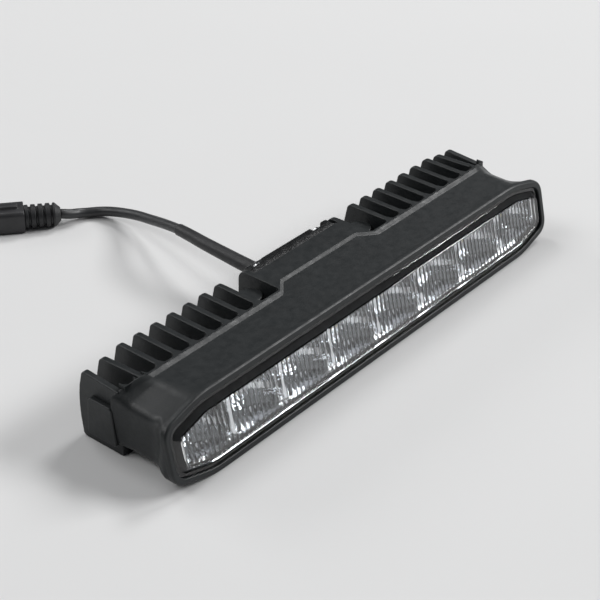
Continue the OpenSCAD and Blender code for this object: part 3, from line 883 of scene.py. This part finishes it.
def make_fins(material):
    """The row of fins on one side, lower and shorter where their roots swing to the rear."""
    tree = ShapeTree("fin_row")
    count = tree.size("Fins", FIN_COUNT, "NodeSocketInt")
    first = tree.size("First fin", FIRST_FIN)
    pitch = tree.size("Pitch", FIN_PITCH)
    root = tree.size("Root", BODY_DEPTH)
    reach = tree.size("Reach", TIP_Y - BODY_DEPTH)
    top = tree.size("Top", TOP_Z)
    swing_from = tree.size("Swing from", SWING_FROM)
    swing_span = tree.size("Swing span", SWING_SPAN)
    swing_depth = tree.size("Swing depth", SWING_DEPTH)
    root_fall = tree.size("Fall at the root", ROOT_FALL)
    tip_fall = tree.size("Fall at the tip", TIP_FALL)
    row = tree.shape("GeometryNodeMeshLine", {
        "Count": count, "Start Location": tree.point(first, 0, 0), "Offset": tree.point(pitch, 0, 0),
    }, mode="OFFSET")
    share = tree.most(0.0, (tree.place()[0] - swing_from) / swing_span)
    row = tree.store(row, "swing", swing_depth * share ** SWING_POWER)
    row = tree.store(row, "root_fall", root_fall * share ** ROOT_FALL_POWER)
    row = tree.store(row, "tip_fall", tip_fall * share ** TIP_FALL_POWER)
    row = tree.shape("GeometryNodeInstanceOnPoints", {"Points": row, "Instance": tree.given})
    row = tree.shape("GeometryNodeRealizeInstances", {"Geometry": row})
    x, y, z = tree.place()
    outwards = tree.least(1.0, tree.most(0.0, (y - root) / reach))
    at_root, at_tip = tree.named("root_fall"), tree.named("tip_fall")
    fall = at_root + outwards * (at_tip - at_root)
    swung = y + tree.named("swing") * (1.0 - outwards)
    row = tree.shape("GeometryNodeSetPosition", {
        "Geometry": row, "Position": tree.point(x, swung, z * (1.0 - fall / top)),
    })
    return tree.run(row, material, make_first_fin())


def arc(x, y, radius, first, last):
    """A round stretch about a point, each sixteenth of a half turn from one to another."""
    turns = [math.pi * k / 16 for k in range(first, last + 1)]
    return [(x - radius * math.cos(turn), y - radius * math.sin(turn)) for turn in turns]


def make_slot_root(number):
    """Round end of the slot between two fins."""
    x = FIRST_FIN + (number + 0.5) * FIN_PITCH
    y = BODY_DEPTH + bend(x)
    front, back, side = y + 0.02, y + SLOT_R, SLOT_R + SINK
    shape = [(x - side, back), *arc(x, back, SLOT_R, 0, 16), (x + side, back)]
    shape += [(x + side, front), (x - side, front)]
    top = TOP_Z - LAST_SLOT_DROP if number == FIN_COUNT - 2 else TOP_Z
    return slab_z("slot_root", shape, 0, top)


def make_bay_fillets():
    """Rounded inner corners of the wide bay beside the driver block."""
    near, far = BLOCK_HALF, FIRST_FIN - FIN_T / 2
    front, back = BODY_DEPTH + 0.02, BODY_DEPTH + 0.1 + BAY_R
    shape = [(near - SINK, front), (near - SINK, back)]
    shape += arc(near + BAY_R, back, BAY_R, 0, 8) + arc(far - BAY_R, back, BAY_R, 8, 16)
    shape += [(far + SINK, back), (far + SINK, front)]
    return slab_z("bay_fillets", shape, 0, TOP_Z)


def make_heel():
    """The foot on the outer side of the last fin."""
    x = LAST_FIN + (FIN_T + HEEL_T) / 2 - 0.2
    low, high = 5, TOP_Z - 12.2
    shape = soft_corners([
        (BODY_DEPTH + 4, low), (TIP_Y - 4.6, low), (TIP_Y - 5.6, high), (BODY_DEPTH + 6.4, high),
    ], 1.8, 5)
    return rounded(slab_x("heel", shape, x, HEEL_T), 0.5)


def make_ear():
    """The plate that closes the driver block's side and reaches as far as the fins."""
    low, high = BLOCK_Y - RIM_T, TIP_Y
    shape = soft_corners([(low, 0), (high, 0), (high, TOP_Z), (low, TOP_Z)], 5.0, 8)
    return rounded(slab_x("ear", shape, BLOCK_HALF - EAR_T / 2, EAR_T), 0.5)


# Half the width of the field over the driver block, in front and behind, and how fast each
# grows with the field
FIELD_FRONT = 33.65
FIELD_FRONT_GROWTH = 1.577
FIELD_BACK = 25.79
FIELD_BACK_GROWTH = 0.358


def make_plate_field():
    """Shallow field that carries the top plate back over the driver block."""
    front, back = BODY_DEPTH - 2.55, BODY_DEPTH + 3.9
    rings = []
    for grown, fall in ((3.6, -0.4), (2.15, -0.005), (1.9, 0.07), (1.65, 0.24), (1.0, 0.76),
                        (0.75, 0.93), (0.4, 1.0)):
        wide = FIELD_FRONT + FIELD_FRONT_GROWTH * grown
        narrow = FIELD_BACK + FIELD_BACK_GROWTH * grown
        z = TOP_Z - PLATE_DROP * fall
        rings.append([
            (-wide, front, z), (-narrow, back + grown, z), (narrow, back + grown, z),
            (wide, front, z),
        ])
    return loft("plate_field", rings)


def face_bore(name, u, w, depth, radius, length):
    """A bore that starts at a depth behind the face and comes out towards it."""
    return rod(name, on_face(u, w, depth), OUT_OF_FACE, radius, length)


def make_cuts():
    """Every pocket and bore of the casting."""
    seat = loft("seat", [depth_ring(LIP_W - inset, depth) for inset, depth in (
        (0.9, -0.4), (0.55, -0.02), (0.28, 0.08), (0.08, 0.28), (0, 0.55), (0, SEAT_DEPTH),
    )])
    cavity = loft("cavity", [
        depth_ring(CAVITY_INSET, depth) for depth in (SEAT_DEPTH - 1, CAVITY_DEPTH)
    ])
    chamber = box(
        "chamber", (-CHAMBER_HALF, DRIVER_SEAT, CHAMBER_LOW),
        (CHAMBER_HALF, BLOCK_Y + 20, CHAMBER_HIGH),
    )
    well = box(
        "well", (-CHAMBER_HALF + 6, CHAMBER_FRONT, CHAMBER_LOW + 2),
        (CHAMBER_HALF - 6, DRIVER_SEAT + 1, CHAMBER_HIGH - 2),
    )
    bores = [rod("cover_bore", (x, BLOCK_Y + 1, z), (0, -1, 0), 1.5, 8) for x, z in COVER_SCREWS]
    bores += [
        rod("driver_bore", (x, DRIVER_SEAT + 1, z), (0, -1, 0), 1.25, 7) for x, z in DRIVER_SCREWS
    ]
    bores += [
        face_bore("board_bore", cell * CELL_PITCH, MID_H, CAVITY_DEPTH + 7, 1.5, 8)
        for cell in BOARD_SCREW_CELLS
    ]
    bores += [
        rod("mount_bore", (side * BOSS_X, BOSS_Y, -1), (0, 0, 1), 2.5, 17) for side in (-1, 1)
    ]
    wire = face_bore("wire_bore", 0, MID_H + 5.8, WIRE_BORE_END, 3, WIRE_BORE_END - CAVITY_DEPTH + 1)
    return [make_plate_field(), seat, cavity, chamber, well, wire, merged("bores", bores)]


def to_scene(made):
    """Moves a solid from the drawing frame to the scene, in metres."""
    scale = Matrix.Scale(0.001, 4)
    made.data.transform(scale @ Matrix.Translation((0, -SHIFT_Y, 0)))
    return made


def both_sides(name, parts):
    """Parts and their mirror images, as one object."""
    return merged(name, parts + [mirrored(part) for part in parts])


def add_housing(material):
    """The casting: lip, body, fins, driver block and bosses, with rounded edges."""
    block = box("block", (-BLOCK_HALF, BODY_DEPTH - 0.35, 0), (BLOCK_HALF, BLOCK_Y, TOP_Z))
    boss = rounded(rod("boss", (BOSS_X, BOSS_Y, 0), (0, 0, 1), BOSS_R, TOP_Z - 4.6), 0.5)
    web = rounded(box(
        "web", (BOSS_X - BOSS_R + 1, BODY_DEPTH - 1, 0),
        (BOSS_X + BOSS_R - 1, BOSS_Y, TOP_Z - 9.5),
    ), 0.4)
    added = [
        make_lip(),
        rounded(block, 0.4),
        both_sides("fins", [make_fins(material)]),
        both_sides("slot_roots", [make_slot_root(k) for k in range(FIN_COUNT - 1)]),
        both_sides("bay_fillets", [make_bay_fillets()]),
        both_sides("ears", [make_ear()]),
        both_sides("bosses", [boss]),
        both_sides("webs", [web]),
        both_sides("heels", [make_heel()]),
    ]
    made = to_scene(combined(make_body(), added, make_cuts()))
    made.name = "cast_housing"
    smooth_by_angle(made, 32)
    weighted = made.modifiers.new("normals", "WEIGHTED_NORMAL")
    weighted.keep_sharp = True
    weighted.weight = 80
    return applied(made, "cast_housing")


# Rear cover
COVER_HALF = CHAMBER_HALF + 1.2
COVER_FRONT = BLOCK_Y + 0.8
COVER_LOW = 1.0
COVER_HIGH = TOP_Z - 0.7
HEAD_SEAT = COVER_BACK - 2.8
NOTCH_W = 8.5
VENT_X = 14.0


def cover_ring(inset, y):
    """The cover's outline, set in, at one place along Y."""
    half, low, high = COVER_HALF - inset, COVER_LOW + inset, COVER_HIGH - inset
    shape = soft_corners([(-half, low), (half, low), (half, high), (-half, high)], 1.6, 6)
    return [(p[0], y, p[1]) for p in shape]


def add_cover():
    """Cover with eased edges, four notches for screw heads and holes for gland and vent."""
    plate = loft("cover_plate", [cover_ring(inset, y) for inset, y in (
        (0.35, COVER_FRONT), (0.1, COVER_FRONT + 0.1), (0, COVER_FRONT + 0.35),
        (0, COVER_BACK - 1.1), (0.12, COVER_BACK - 0.6), (0.4, COVER_BACK - 0.22),
        (0.9, COVER_BACK),
    )])
    half = NOTCH_W / 2
    notches = []
    for x, z in COVER_SCREWS:
        notches.append(rod("notch", (x, HEAD_SEAT, z), (0, 1, 0), half, 4))
        low, high = (z, z + 8) if z > MID_H else (z - 8, z)
        notches.append(box(
            "notch_side", (x - half, HEAD_SEAT, low), (x + half, COVER_BACK + 1, high)
        ))
    round_holes = [(x, z, 1.7) for x, z in COVER_SCREWS]
    round_holes += [(CABLE_X, CABLE_Z, 6), (VENT_X, DRIVER_Z, 3)]
    holes = [
        rod("hole", (x, COVER_FRONT - 1, z), (0, 1, 0), radius, 9) for x, z, radius in round_holes
    ]
    made = to_scene(combined(plate, [], notches + holes))
    made.name = "rear_cover_plate"
    smooth_by_angle(made, 30)
    return made


# Screws: the height of the head's dome and the floor of its socket, as shares of the head
HEAD_DOME = 0.22
SOCKET_FLOOR = 0.4


def points_object(name, places, edges=()):
    """Points for a shape tree, joined by edges where they are a path."""
    mesh = bpy.data.meshes.new(name)
    mesh.from_pydata([tuple(place) for place in places], edges, [])
    return new_object(name, mesh)


def add_screws(name, places, direction, head, shank, socket, seed):
    """Pan-head socket screws at the places where their heads sit, with chance turns.

    The head and the shank are each a radius and a length, and the socket is a radius.
    """
    tree = ShapeTree(name)
    head_r = tree.size("Head radius", head[0])
    head_h = tree.size("Head height", head[1])
    dome = tree.size("Dome height", HEAD_DOME * head[1])
    shank_r = tree.size("Shank radius", shank[0])
    shank_l = tree.size("Shank length", shank[1])
    socket_r = tree.size("Socket radius", socket)
    pointing = tree.size("Direction", direction, "NodeSocketVector")
    chance = tree.size("Chance", seed, "NodeSocketInt")

    def bar(radius, length, low, sides):
        made = tree.shape("GeometryNodeMeshCylinder", {
            "Vertices": sides, "Radius": radius, "Depth": length,
        })
        return tree.moved(made, 0, 0, low + 0.5 * length)

    def solid(operation, first, second):
        made = tree.node("GeometryNodeMeshBoolean", operation=operation, solver="EXACT")
        tree.feed(made.inputs["Mesh 1" if operation == "DIFFERENCE" else "Mesh 2"], first)
        tree.feed(made.inputs["Mesh 2"], second)
        return made.outputs[0]

    ball_r = (head_r * head_r + dome * dome) / (2.0 * dome)
    ball = tree.shape("GeometryNodeMeshUVSphere", {"Segments": 48, "Rings": 48, "Radius": ball_r})
    ball = tree.moved(ball, 0, 0, head_h - ball_r)
    screw = solid("INTERSECT", bar(head_r, head_h, 0.0, 48), ball)
    screw = solid("DIFFERENCE", screw, bar(socket_r, head_h, SOCKET_FLOOR * head_h, 6))
    screw = solid("UNION", screw, bar(shank_r, shank_l + 0.2, -shank_l, 24))
    lean = tree.shape("FunctionNodeAlignRotationToVector", {"Vector": pointing}, axis="Z")
    row = tree.shape("GeometryNodeInstanceOnPoints", {
        "Points": tree.given, "Instance": screw, "Rotation": lean,
    })
    # Socket 3 takes the largest plain number, and result 1 gives the plain number
    sixth = math.tau / 6
    turn = tree.node("FunctionNodeRandomValue", {3: sixth, "Seed": chance}, data_type="FLOAT")
    row = tree.shape("GeometryNodeRotateInstances", {
        "Instances": row, "Rotation": tree.point(0, 0, turn.outputs[1]), "Local Space": True,
    })
    made = to_scene(tree.run(row, steel(name + "_steel"), points_object(name, places)))
    smooth_by_angle(made, 28)
    return made


# Rubber along a path: a groove's wall lies between two distances from the middle of a rib,
# as shares of the pitch
WALL_FROM = 0.26
WALL_TO = 0.41


def swept_rubber(name, path, radii, start, end, ribs, material, count, sides=48):
    """A closed tube along a path: from one radius to another, with eased ends and grooves.

    Each end is eased by its radius there and how fast that grows. The ribs are the grooves'
    depth, their pitch and where the first of them is.
    """
    tree = ShapeTree(name)
    first = tree.size("First radius", radii[0])
    last = tree.size("Last radius", radii[1])
    start_r = tree.size("Start radius", start[0])
    start_rise = tree.size("Start rise", start[1])
    end_r = tree.size("End radius", end[0])
    end_rise = tree.size("End rise", end[1])
    groove = tree.size("Groove depth", ribs[0])
    pitch = tree.size("Rib pitch", ribs[1])
    phase = tree.size("First groove", ribs[2])
    rings = tree.size("Rings", count, "NodeSocketInt")
    line = tree.shape("GeometryNodeMeshToCurve", {"Mesh": tree.given})
    line = tree.shape("GeometryNodeResampleCurve", {"Curve": line, "Count": rings})
    length = Number(tree, tree.shape("GeometryNodeCurveLength", {"Curve": line}))
    spline = tree.node("GeometryNodeSplineParameter")
    share = Number(tree, spline.outputs["Factor"])
    along = Number(tree, spline.outputs["Length"])
    off_centre = tree.math("ABSOLUTE", tree.fraction((along - phase) / pitch) - 0.5)
    cut = tree.shape("ShaderNodeMapRange", {
        "Value": off_centre, "From Min": WALL_FROM, "From Max": WALL_TO, "To Min": 0.0, "To Max": 1.0,
    }, interpolation_type="SMOOTHSTEP")
    radius = first + share * (last - first) - groove * cut
    radius = tree.least(radius, start_r + start_rise * along)
    radius = tree.least(radius, end_r + end_rise * (length - along))
    ring = tree.shape("GeometryNodeCurvePrimitiveCircle", {"Resolution": sides, "Radius": 1.0})
    swept = tree.shape("GeometryNodeCurveToMesh", {
        "Curve": line, "Profile Curve": ring, "Scale": radius, "Fill Caps": True,
    })
    edges = [(k, k + 1) for k in range(len(path) - 1)]
    made = to_scene(tree.run(swept, material, points_object(name, path, edges)))
    mend(made.data)
    smooth_by_angle(made, 40)
    return made


# Lens
FLUTE_PITCH = CELL_PITCH / 12
FLUTE_DEPTH = 0.16
FLUTE_STEPS = 12
WINDOW_INSET = 7.5
BEVEL_INSET = 4.8
FLANGE_INSET = 3.2
FLANGE_BACK = 3.0
INNER_INSET = 8.0
LOWER_INSET = 6.0
INNER_DEPTH = 0.2
WALL_INSET = 5.8


def from_face(made):
    """Moves a solid from the face's own frame (along, up, out) to the scene."""
    sine, cosine = math.sin(LEAN), math.cos(LEAN)
    turn = Matrix(((1, 0, 0, 0), (0, sine, -cosine, 0), (0, cosine, sine, 0), (0, 0, 0, 1)))
    made.data.transform(turn)
    return to_scene(made)


def carried(u, share, inner, outer):
    """Carries a place along a narrower outline, at a share of its height, to a wider one."""
    size = abs(u)
    if size <= flat_x(inner):
        moved = size * flat_x(outer) / flat_x(inner)
    else:
        wider = (HALF - outer - flat_x(outer)) / (HALF - inner - flat_x(inner))
        moved = flat_x(outer) + (size - flat_x(inner)) * wider
    moved = math.copysign(moved, u)
    low, high = span_at(moved, outline(outer))
    return moved, low + share * (high - low)


def fill_grid(bm, grid):
    """Faces between columns of verts."""
    for near, far in zip(grid, grid[1:]):
        for k in range(len(near) - 1):
            bm.faces.new((near[k], far[k], far[k + 1], near[k + 1]))


def grid_border(grid):
    """The verts round a grid of columns, in order."""
    return (
        [column[0] for column in grid] + grid[-1][1:-1]
        + [column[-1] for column in reversed(grid)] + grid[0][-2:0:-1]
    )


def face_ring(bm, inset, depth):
    """Verts along the face's outline, in the face's own frame."""
    return [bm.verts.new((p[0], p[1], -depth)) for p in outline(inset)]


def join_loops(bm, near, far):
    """Faces between two closed loops of verts that have the same count."""
    for k in range(len(near)):
        after = (k + 1) % len(near)
        bm.faces.new((near[k], near[after], far[after], far[k]))


def use_marked(mesh, mark):
    """Gives the faces that carry a mark the mesh's second material."""
    for polygon, value in zip(mesh.polygons, mesh.attributes[mark].data):
        polygon.material_index = value.value


def loop_edges(bm, loop):
    """The edges of a closed loop of verts, made where there are none yet."""
    edges = []
    for k, vert in enumerate(loop):
        other = loop[(k + 1) % len(loop)]
        edges.append(bm.edges.get((vert, other)) or bm.edges.new((vert, other)))
    return edges


def window_grid(bm, mark):
    """The back of the window: columns of verts, marked where the flutes move them."""
    inner, below = outline(INNER_INSET), outline(LOWER_INSET)
    reach = max(p[0] for p in inner) - 0.02
    columns = int(2 * reach / FLUTE_PITCH * FLUTE_STEPS)
    grid = []
    for i in range(columns + 1):
        u = -reach + 2 * reach * i / columns
        low, high = span_at(u, inner)
        heights = [span_at(u, below)[0], low - 0.4, low + 1]
        heights += [low + (high - low) * k / 4 for k in (1, 2, 3)] + [high - 0.5, high]
        column = [bm.verts.new((u, w, -INNER_DEPTH)) for w in heights]
        for vert in column[2:-1]:
            vert[mark] = 1
        grid.append(column)
    fill_grid(bm, grid)
    return grid


def wall_inside(bm, grid):
    """Makes the wall from the back of the window to the flange and gives its last ring."""
    shares = {}
    for column in grid:
        low, high = column[0].co.y, column[-1].co.y
        for vert in column:
            shares[vert] = (vert.co.y - low) / (high - low)
    last = grid_border(grid)
    places = [(vert.co.x, shares[vert]) for vert in last]
    for inset, depth in ((WALL_INSET + 0.1, 2.3), (WALL_INSET, 2.5), (WALL_INSET, FLANGE_BACK)):
        ring = [
            bm.verts.new((*carried(u, share, INNER_INSET, inset), -depth)) for u, share in places
        ]
        join_loops(bm, last, ring)
        last = ring
    return last


def bare_lens():
    """The lens with a smooth back: raised window, bevelled edges, even wall and flange."""
    bm = bmesh.new()
    mark = bm.verts.layers.int.new("fluted")
    masked = bm.faces.layers.int.new("masked")
    # How far each ring is set in, and how far it lies behind the lip's face
    profile = [
        (WINDOW_INSET + 0.35, -1.5), (WINDOW_INSET + 0.2, -1.49), (WINDOW_INSET + 0.02, -1.42),
        (WINDOW_INSET - 0.12, -1.3), (WINDOW_INSET - 0.22, -1.206), (BEVEL_INSET + 0.22, 0.906),
        (BEVEL_INSET + 0.12, 1.0), (BEVEL_INSET - 0.02, 1.12), (BEVEL_INSET - 0.2, 1.19),
        (BEVEL_INSET - 0.35, 1.2), (FLANGE_INSET + 0.2, 1.2), (FLANGE_INSET, 1.4),
        (FLANGE_INSET, FLANGE_BACK),
    ]
    rings = [face_ring(bm, inset, depth) for inset, depth in profile]
    for near, far in zip(rings[:-1], rings[1:-1]):
        join_loops(bm, near, far)
    bm.faces.new(rings[0])
    grid = window_grid(bm, mark)
    clear = set(bm.faces)
    join_loops(bm, rings[-2], rings[-1])
    inside = wall_inside(bm, grid)
    bmesh.ops.bridge_loops(bm, edges=loop_edges(bm, inside) + loop_edges(bm, rings[-1]))
    for face in bm.faces:
        face[masked] = face not in clear
    bmesh.ops.recalc_face_normals(bm, faces=bm.faces)
    return object_from(bm, "bare_lens")


def add_lens():
    """Clear lens with upright flutes behind its window."""
    tree = ShapeTree("fluted_lens")
    pitch = tree.size("Flute pitch", FLUTE_PITCH)
    depth = tree.size("Flute depth", FLUTE_DEPTH)
    wave = tree.math("ABSOLUTE", tree.math("COSINE", math.pi * (tree.place()[0] / pitch)))
    sunk = -(wave * depth * tree.named("fluted"))
    fluted = tree.shape("GeometryNodeSetPosition", {
        "Geometry": tree.given, "Offset": tree.point(0, 0, sunk),
    })
    made = tree.run(fluted, clear_polycarbonate(), bare_lens())
    made.data.materials.append(moulded("lens_mask", (0.004, 0.004, 0.005), 0.65))
    use_marked(made.data, "masked")
    made = from_face(made)
    smooth_by_angle(made, 14)
    return made


# Reflector
CUP_FOCUS = 4.0
CUP_EDGE = 0.35
CUP_HALF_H = 10.5
CUP_FLOOR = 0.6
CHIP_OPENING = 3.0
BOARD_FRONT = 16.4
REFLECTOR_FRONT = 3.2
REFLECTOR_DEPTH = BOARD_FRONT - REFLECTOR_FRONT
FACET = CELL_PITCH / 12
FACET_STEPS = 6
PILLOW = 0.3
BEZEL_INSET = 7.0
BEZEL_FROM = 9.0


def bare_reflector():
    """A closed block with a fine grid on the side that takes the cups."""
    bm = bmesh.new()
    mark = bm.verts.layers.int.new("cup")
    dark = bm.faces.layers.int.new("bezel")
    limit = outline(BEZEL_INSET + 0.7)
    reach = max(p[0] for p in limit) - 0.05
    up = round(2 * CUP_HALF_H / FACET) * FACET_STEPS
    columns = round(LENGTH / FACET) * FACET_STEPS
    places = {max(-reach, min(reach, FACET / FACET_STEPS * k)) for k in range(-columns, columns)}
    grid = []
    for u in sorted(places):
        low, high = span_at(u, limit)
        low, high = max(low, MID_H - CUP_HALF_H), min(high, MID_H + CUP_HALF_H)
        column = []
        for k in range(up + 1):
            w = MID_H - CUP_HALF_H + 2 * CUP_HALF_H * k / up
            column.append(bm.verts.new((u, max(low, min(high, w)), -REFLECTOR_FRONT)))
            column[-1][mark] = 1
        grid.append(column)
    fill_grid(bm, grid)
    border = grid_border(grid)
    rim = [bm.verts.new((*vert.co.xy, -REFLECTOR_FRONT)) for vert in border]
    join_loops(bm, border, rim)
    bright = set(bm.faces)
    front = face_ring(bm, BEZEL_INSET + 0.1, REFLECTOR_FRONT)
    side = face_ring(bm, BEZEL_INSET, REFLECTOR_FRONT + 0.15)
    back = face_ring(bm, BEZEL_INSET, BOARD_FRONT)
    bmesh.ops.bridge_loops(bm, edges=loop_edges(bm, rim) + loop_edges(bm, front))
    join_loops(bm, front, side)
    join_loops(bm, side, back)
    bm.faces.new(back)
    for face in bm.faces:
        face[dark] = face not in bright and face.calc_center_median().y > BEZEL_FROM
    return object_from(bm, "bare_reflector")


def add_reflector():
    """Eight cups with pillow facets, in a dark bezel."""
    tree = ShapeTree("faceted_reflector")
    pitch = tree.size("Cup pitch", CELL_PITCH)
    edge = tree.size("Land between cups", CUP_EDGE)
    focus = tree.size("Focus", CUP_FOCUS)
    depth = tree.size("Depth", REFLECTOR_DEPTH)
    floor = tree.size("Floor", CUP_FLOOR)
    back = tree.size("Back", -BOARD_FRONT)
    middle = tree.size("Middle height", MID_H)
    facet = tree.size("Facet", FACET)
    pillow = tree.size("Pillow height", PILLOW)
    eye = tree.size("Opening for the chip", CHIP_OPENING)
    x, y = tree.place()[:2]
    across = (tree.fraction(x / pitch) - 0.5) * pitch
    upward = y - middle
    square = across * across + upward * upward
    mouth = 0.5 * pitch - edge
    scale = 4.0 * focus
    bare = square / scale - (mouth * mouth / scale - depth)
    bowl = tree.most(floor, tree.least(bare, depth))
    dome = 1.0
    for place in (across, upward):
        part = tree.fraction(place / facet) - 0.5
        dome = dome - 2.0 * (part * part)
    below_rim = tree.math("LESS_THAN", bare, depth - 0.01)
    past_chip = tree.math("GREATER_THAN", square, eye * eye)
    bulge = pillow * dome * (below_rim * past_chip)
    height = tree.least(depth, bowl + bulge)
    cups = tree.shape("GeometryNodeSetPosition", {
        "Geometry": tree.given, "Selection": tree.named("cup", "BOOLEAN"),
        "Position": tree.point(x, y, back + height),
    })
    made = tree.run(cups, metallised(), bare_reflector())
    made.data.materials.append(moulded("bezel_black", (0.012, 0.0125, 0.014), 0.45))
    use_marked(made.data, "bezel")
    mend(made.data, 1e-4)
    made = from_face(made)
    smooth_by_angle(made, 20)
    return made


# Surroundings, in metres
FLOOR_HALF = 6.0


def add_floor():
    half = FLOOR_HALF
    corners = [(-half, -half, 0), (half, -half, 0), (half, half, 0), (-half, half, 0)]
    mesh = bpy.data.meshes.new("floor")
    mesh.from_pydata(corners, [], [(0, 1, 2, 3)])
    floor = new_object("floor", mesh)
    made = Finish("studio_floor", (0.69, 0.69, 0.69), 0.95, Specular_IOR_Level=0.0)
    made.mottle(3, 0.01)
    floor.data.materials.append(made.material)


def add_lamp(name, place, size, power, target=(0, 0, 0)):
    """A soft lamp of a width and height in metres and a power in watts."""
    data = bpy.data.lights.new(name, "AREA")
    data.shape = "RECTANGLE"
    data.size = size[0]
    data.size_y = size[1]
    data.energy = power
    lamp = bpy.data.objects.new(name, data)
    bpy.context.scene.collection.objects.link(lamp)
    lamp.location = place
    aim = Vector(target) - Vector(place)
    lamp.rotation_euler = aim.to_track_quat("-Z", "Y").to_euler()


def add_world():
    world = bpy.data.worlds.new("studio")
    world.use_nodes = True
    sky = world.node_tree.nodes["Background"].inputs
    sky["Color"].default_value = (0.95, 0.97, 1, 1)
    sky["Strength"].default_value = 0.11
    bpy.context.scene.world = world


def dress(node, material):
    """Gives a node that keeps its own shape its finish."""
    mesh = NODES[node].data
    if not mesh.materials:
        mesh.materials.append(material)
    for slot in NODES[node].material_slots:
        slot.material = material


def stand_in(made, node, material=None):
    """Puts a refined piece in place of a node."""
    if material:
        made.data.materials.clear()
        made.data.materials.append(material)
    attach(made, "root")
    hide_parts(node)


# The light
add_camera()
jacket, cable_line, cable_exit, cable_length = add_cable()
stand_in(jacket, "cable")

sleeve_line = cable_line[(SLEEVE_FROM - 1) * ROUTE_STEPS:(SLEEVE_TO - 1) * ROUTE_STEPS + 1]
sleeve = swept_rubber(
    "sleeve", sleeve_line, (3.5, 2.95), (3.2, 0.5), (2.6, 0.35), (0.0, 10.0, 0.0),
    black_rubber("sleeve_rubber", 0.5), 160, 40,
)
stand_in(sleeve, "cable_sleeve")
boot = swept_rubber(
    "boot", [BOOT_AT, BOOT_AT + BOOT_LEN * ALONG_BOOT], (BOOT_R, BOOT_R), (3.4, 0.95),
    (BOOT_R - 0.3, 0.6), (1.1, (BOOT_LEN - 3.6) / 4, 0.9), black_rubber("boot_rubber", 0.5), 240,
)
stand_in(boot, "connector_boot")

pieces = {}
nylon = moulded("black_nylon", (0.02, 0.021, 0.023), 0.4)
for node, width, slot, material in (
    ("gland_body", 0.0003, "black_plastic", nylon),
    ("gland_nut", 0.0004, "black_plastic", nylon),
    ("breather_vent", 0.0003, "black_plastic", nylon),
    ("connector_body", 0.0005, "connector",
     moulded("connector_case", (0.022, 0.022, 0.024), 0.42)),
    ("connector_seal", 0.0004, "orange_seal", moulded("seal_silicone", (0.7, 0.2, 0.05), 0.5)),
):
    pieces[node] = softened_copy(node, node + "_piece", width)
    stand_in(pieces[node], node, material)
[scene_point(p) for p in cable_line]

coat = powder_coat()
stand_in(add_housing(coat), "housing", coat)
stand_in(add_lens(), "lens")
stand_in(add_reflector(), "reflector")
stand_in(add_cover(), "rear_cover", textured_cover())
for kind, places, direction, head, shank, socket, seed in (
    ("cover", [(x, HEAD_SEAT, z) for x, z in COVER_SCREWS], (0, 1, 0),
     (2.75, 2.3), (1.45, 11.0), 1.23, 3),
    ("driver", [(x, DRIVER_SEAT + 1.6, z) for x, z in DRIVER_SCREWS], (0, 1, 0),
     (2.2, 1.5), (1.2, 6.6), 1.0, 5),
    ("board", [on_face(cell * CELL_PITCH, MID_H, BOARD_FRONT) for cell in BOARD_SCREW_CELLS],
     OUT_OF_FACE, (2.75, 1.7), (1.45, 8.0), 1.23, 8),
):
    screws = add_screws(f"{kind}_screw_set", places, direction, head, shank, socket, seed)
    stand_in(screws, f"{kind}_screws")

phosphor = moulded("phosphor", (0.86, 0.74, 0.34), 0.5)
silicone = clear_silicone()
for number in range(1, CELLS + 1):
    dress(f"led_chip_{number}", phosphor)
    dress(f"led_dome_{number}", silicone)
for node, material in (
    ("lens_gasket", black_rubber("gasket_rubber")),
    ("cover_gasket", black_rubber("cover_gasket_rubber")),
    ("gland_seal", black_rubber("gland_seal_rubber")),
    ("led_board", solder_mask("led_solder_mask", (math.pi / 2 - LEAN, 0, 0))),
    ("driver_board", solder_mask("driver_solder_mask", (math.pi / 2, 0, 0))),
    ("thermal_pad", moulded("thermal_pad_putty", (0.45, 0.47, 0.5), 0.8)),
    ("driver_inductor", moulded("ferrite", (0.1, 0.1, 0.105), 0.6)),
    ("driver_capacitors", capacitor_can()),
    ("driver_controller", moulded("controller_case", (0.03, 0.03, 0.032), 0.45)),
    ("driver_transistor", moulded("transistor_case", (0.03, 0.03, 0.032), 0.45)),
    ("link_wires", moulded("red_insulation", (0.5, 0.03, 0.03), 0.35)),
    ("supply_wires", moulded("black_insulation", (0.03, 0.03, 0.035), 0.35)),
    ("connector_contacts", tinned_contacts()),
):
    dress(node, material)

add_floor()
add_world()
add_lamp("key", (-2.88, 2.24, 4.16), (3.2, 1.92), 84)
add_lamp("top", (0.44, 2.3, 3.74), (1.2, 1.2), 24)
add_lamp("side", (3.4, 0.38, 3.8), (1.44, 1.12), 80)
add_lamp("front", (3.04, -2.4, 2.56), (2.24, 1.12), 152)
add_lamp("back", (-1.28, 5.34, 2.56), (4.48, 1.6), 72, target=(0, 0.1, 0))

bpy.context.scene.view_settings.view_transform = "Standard"
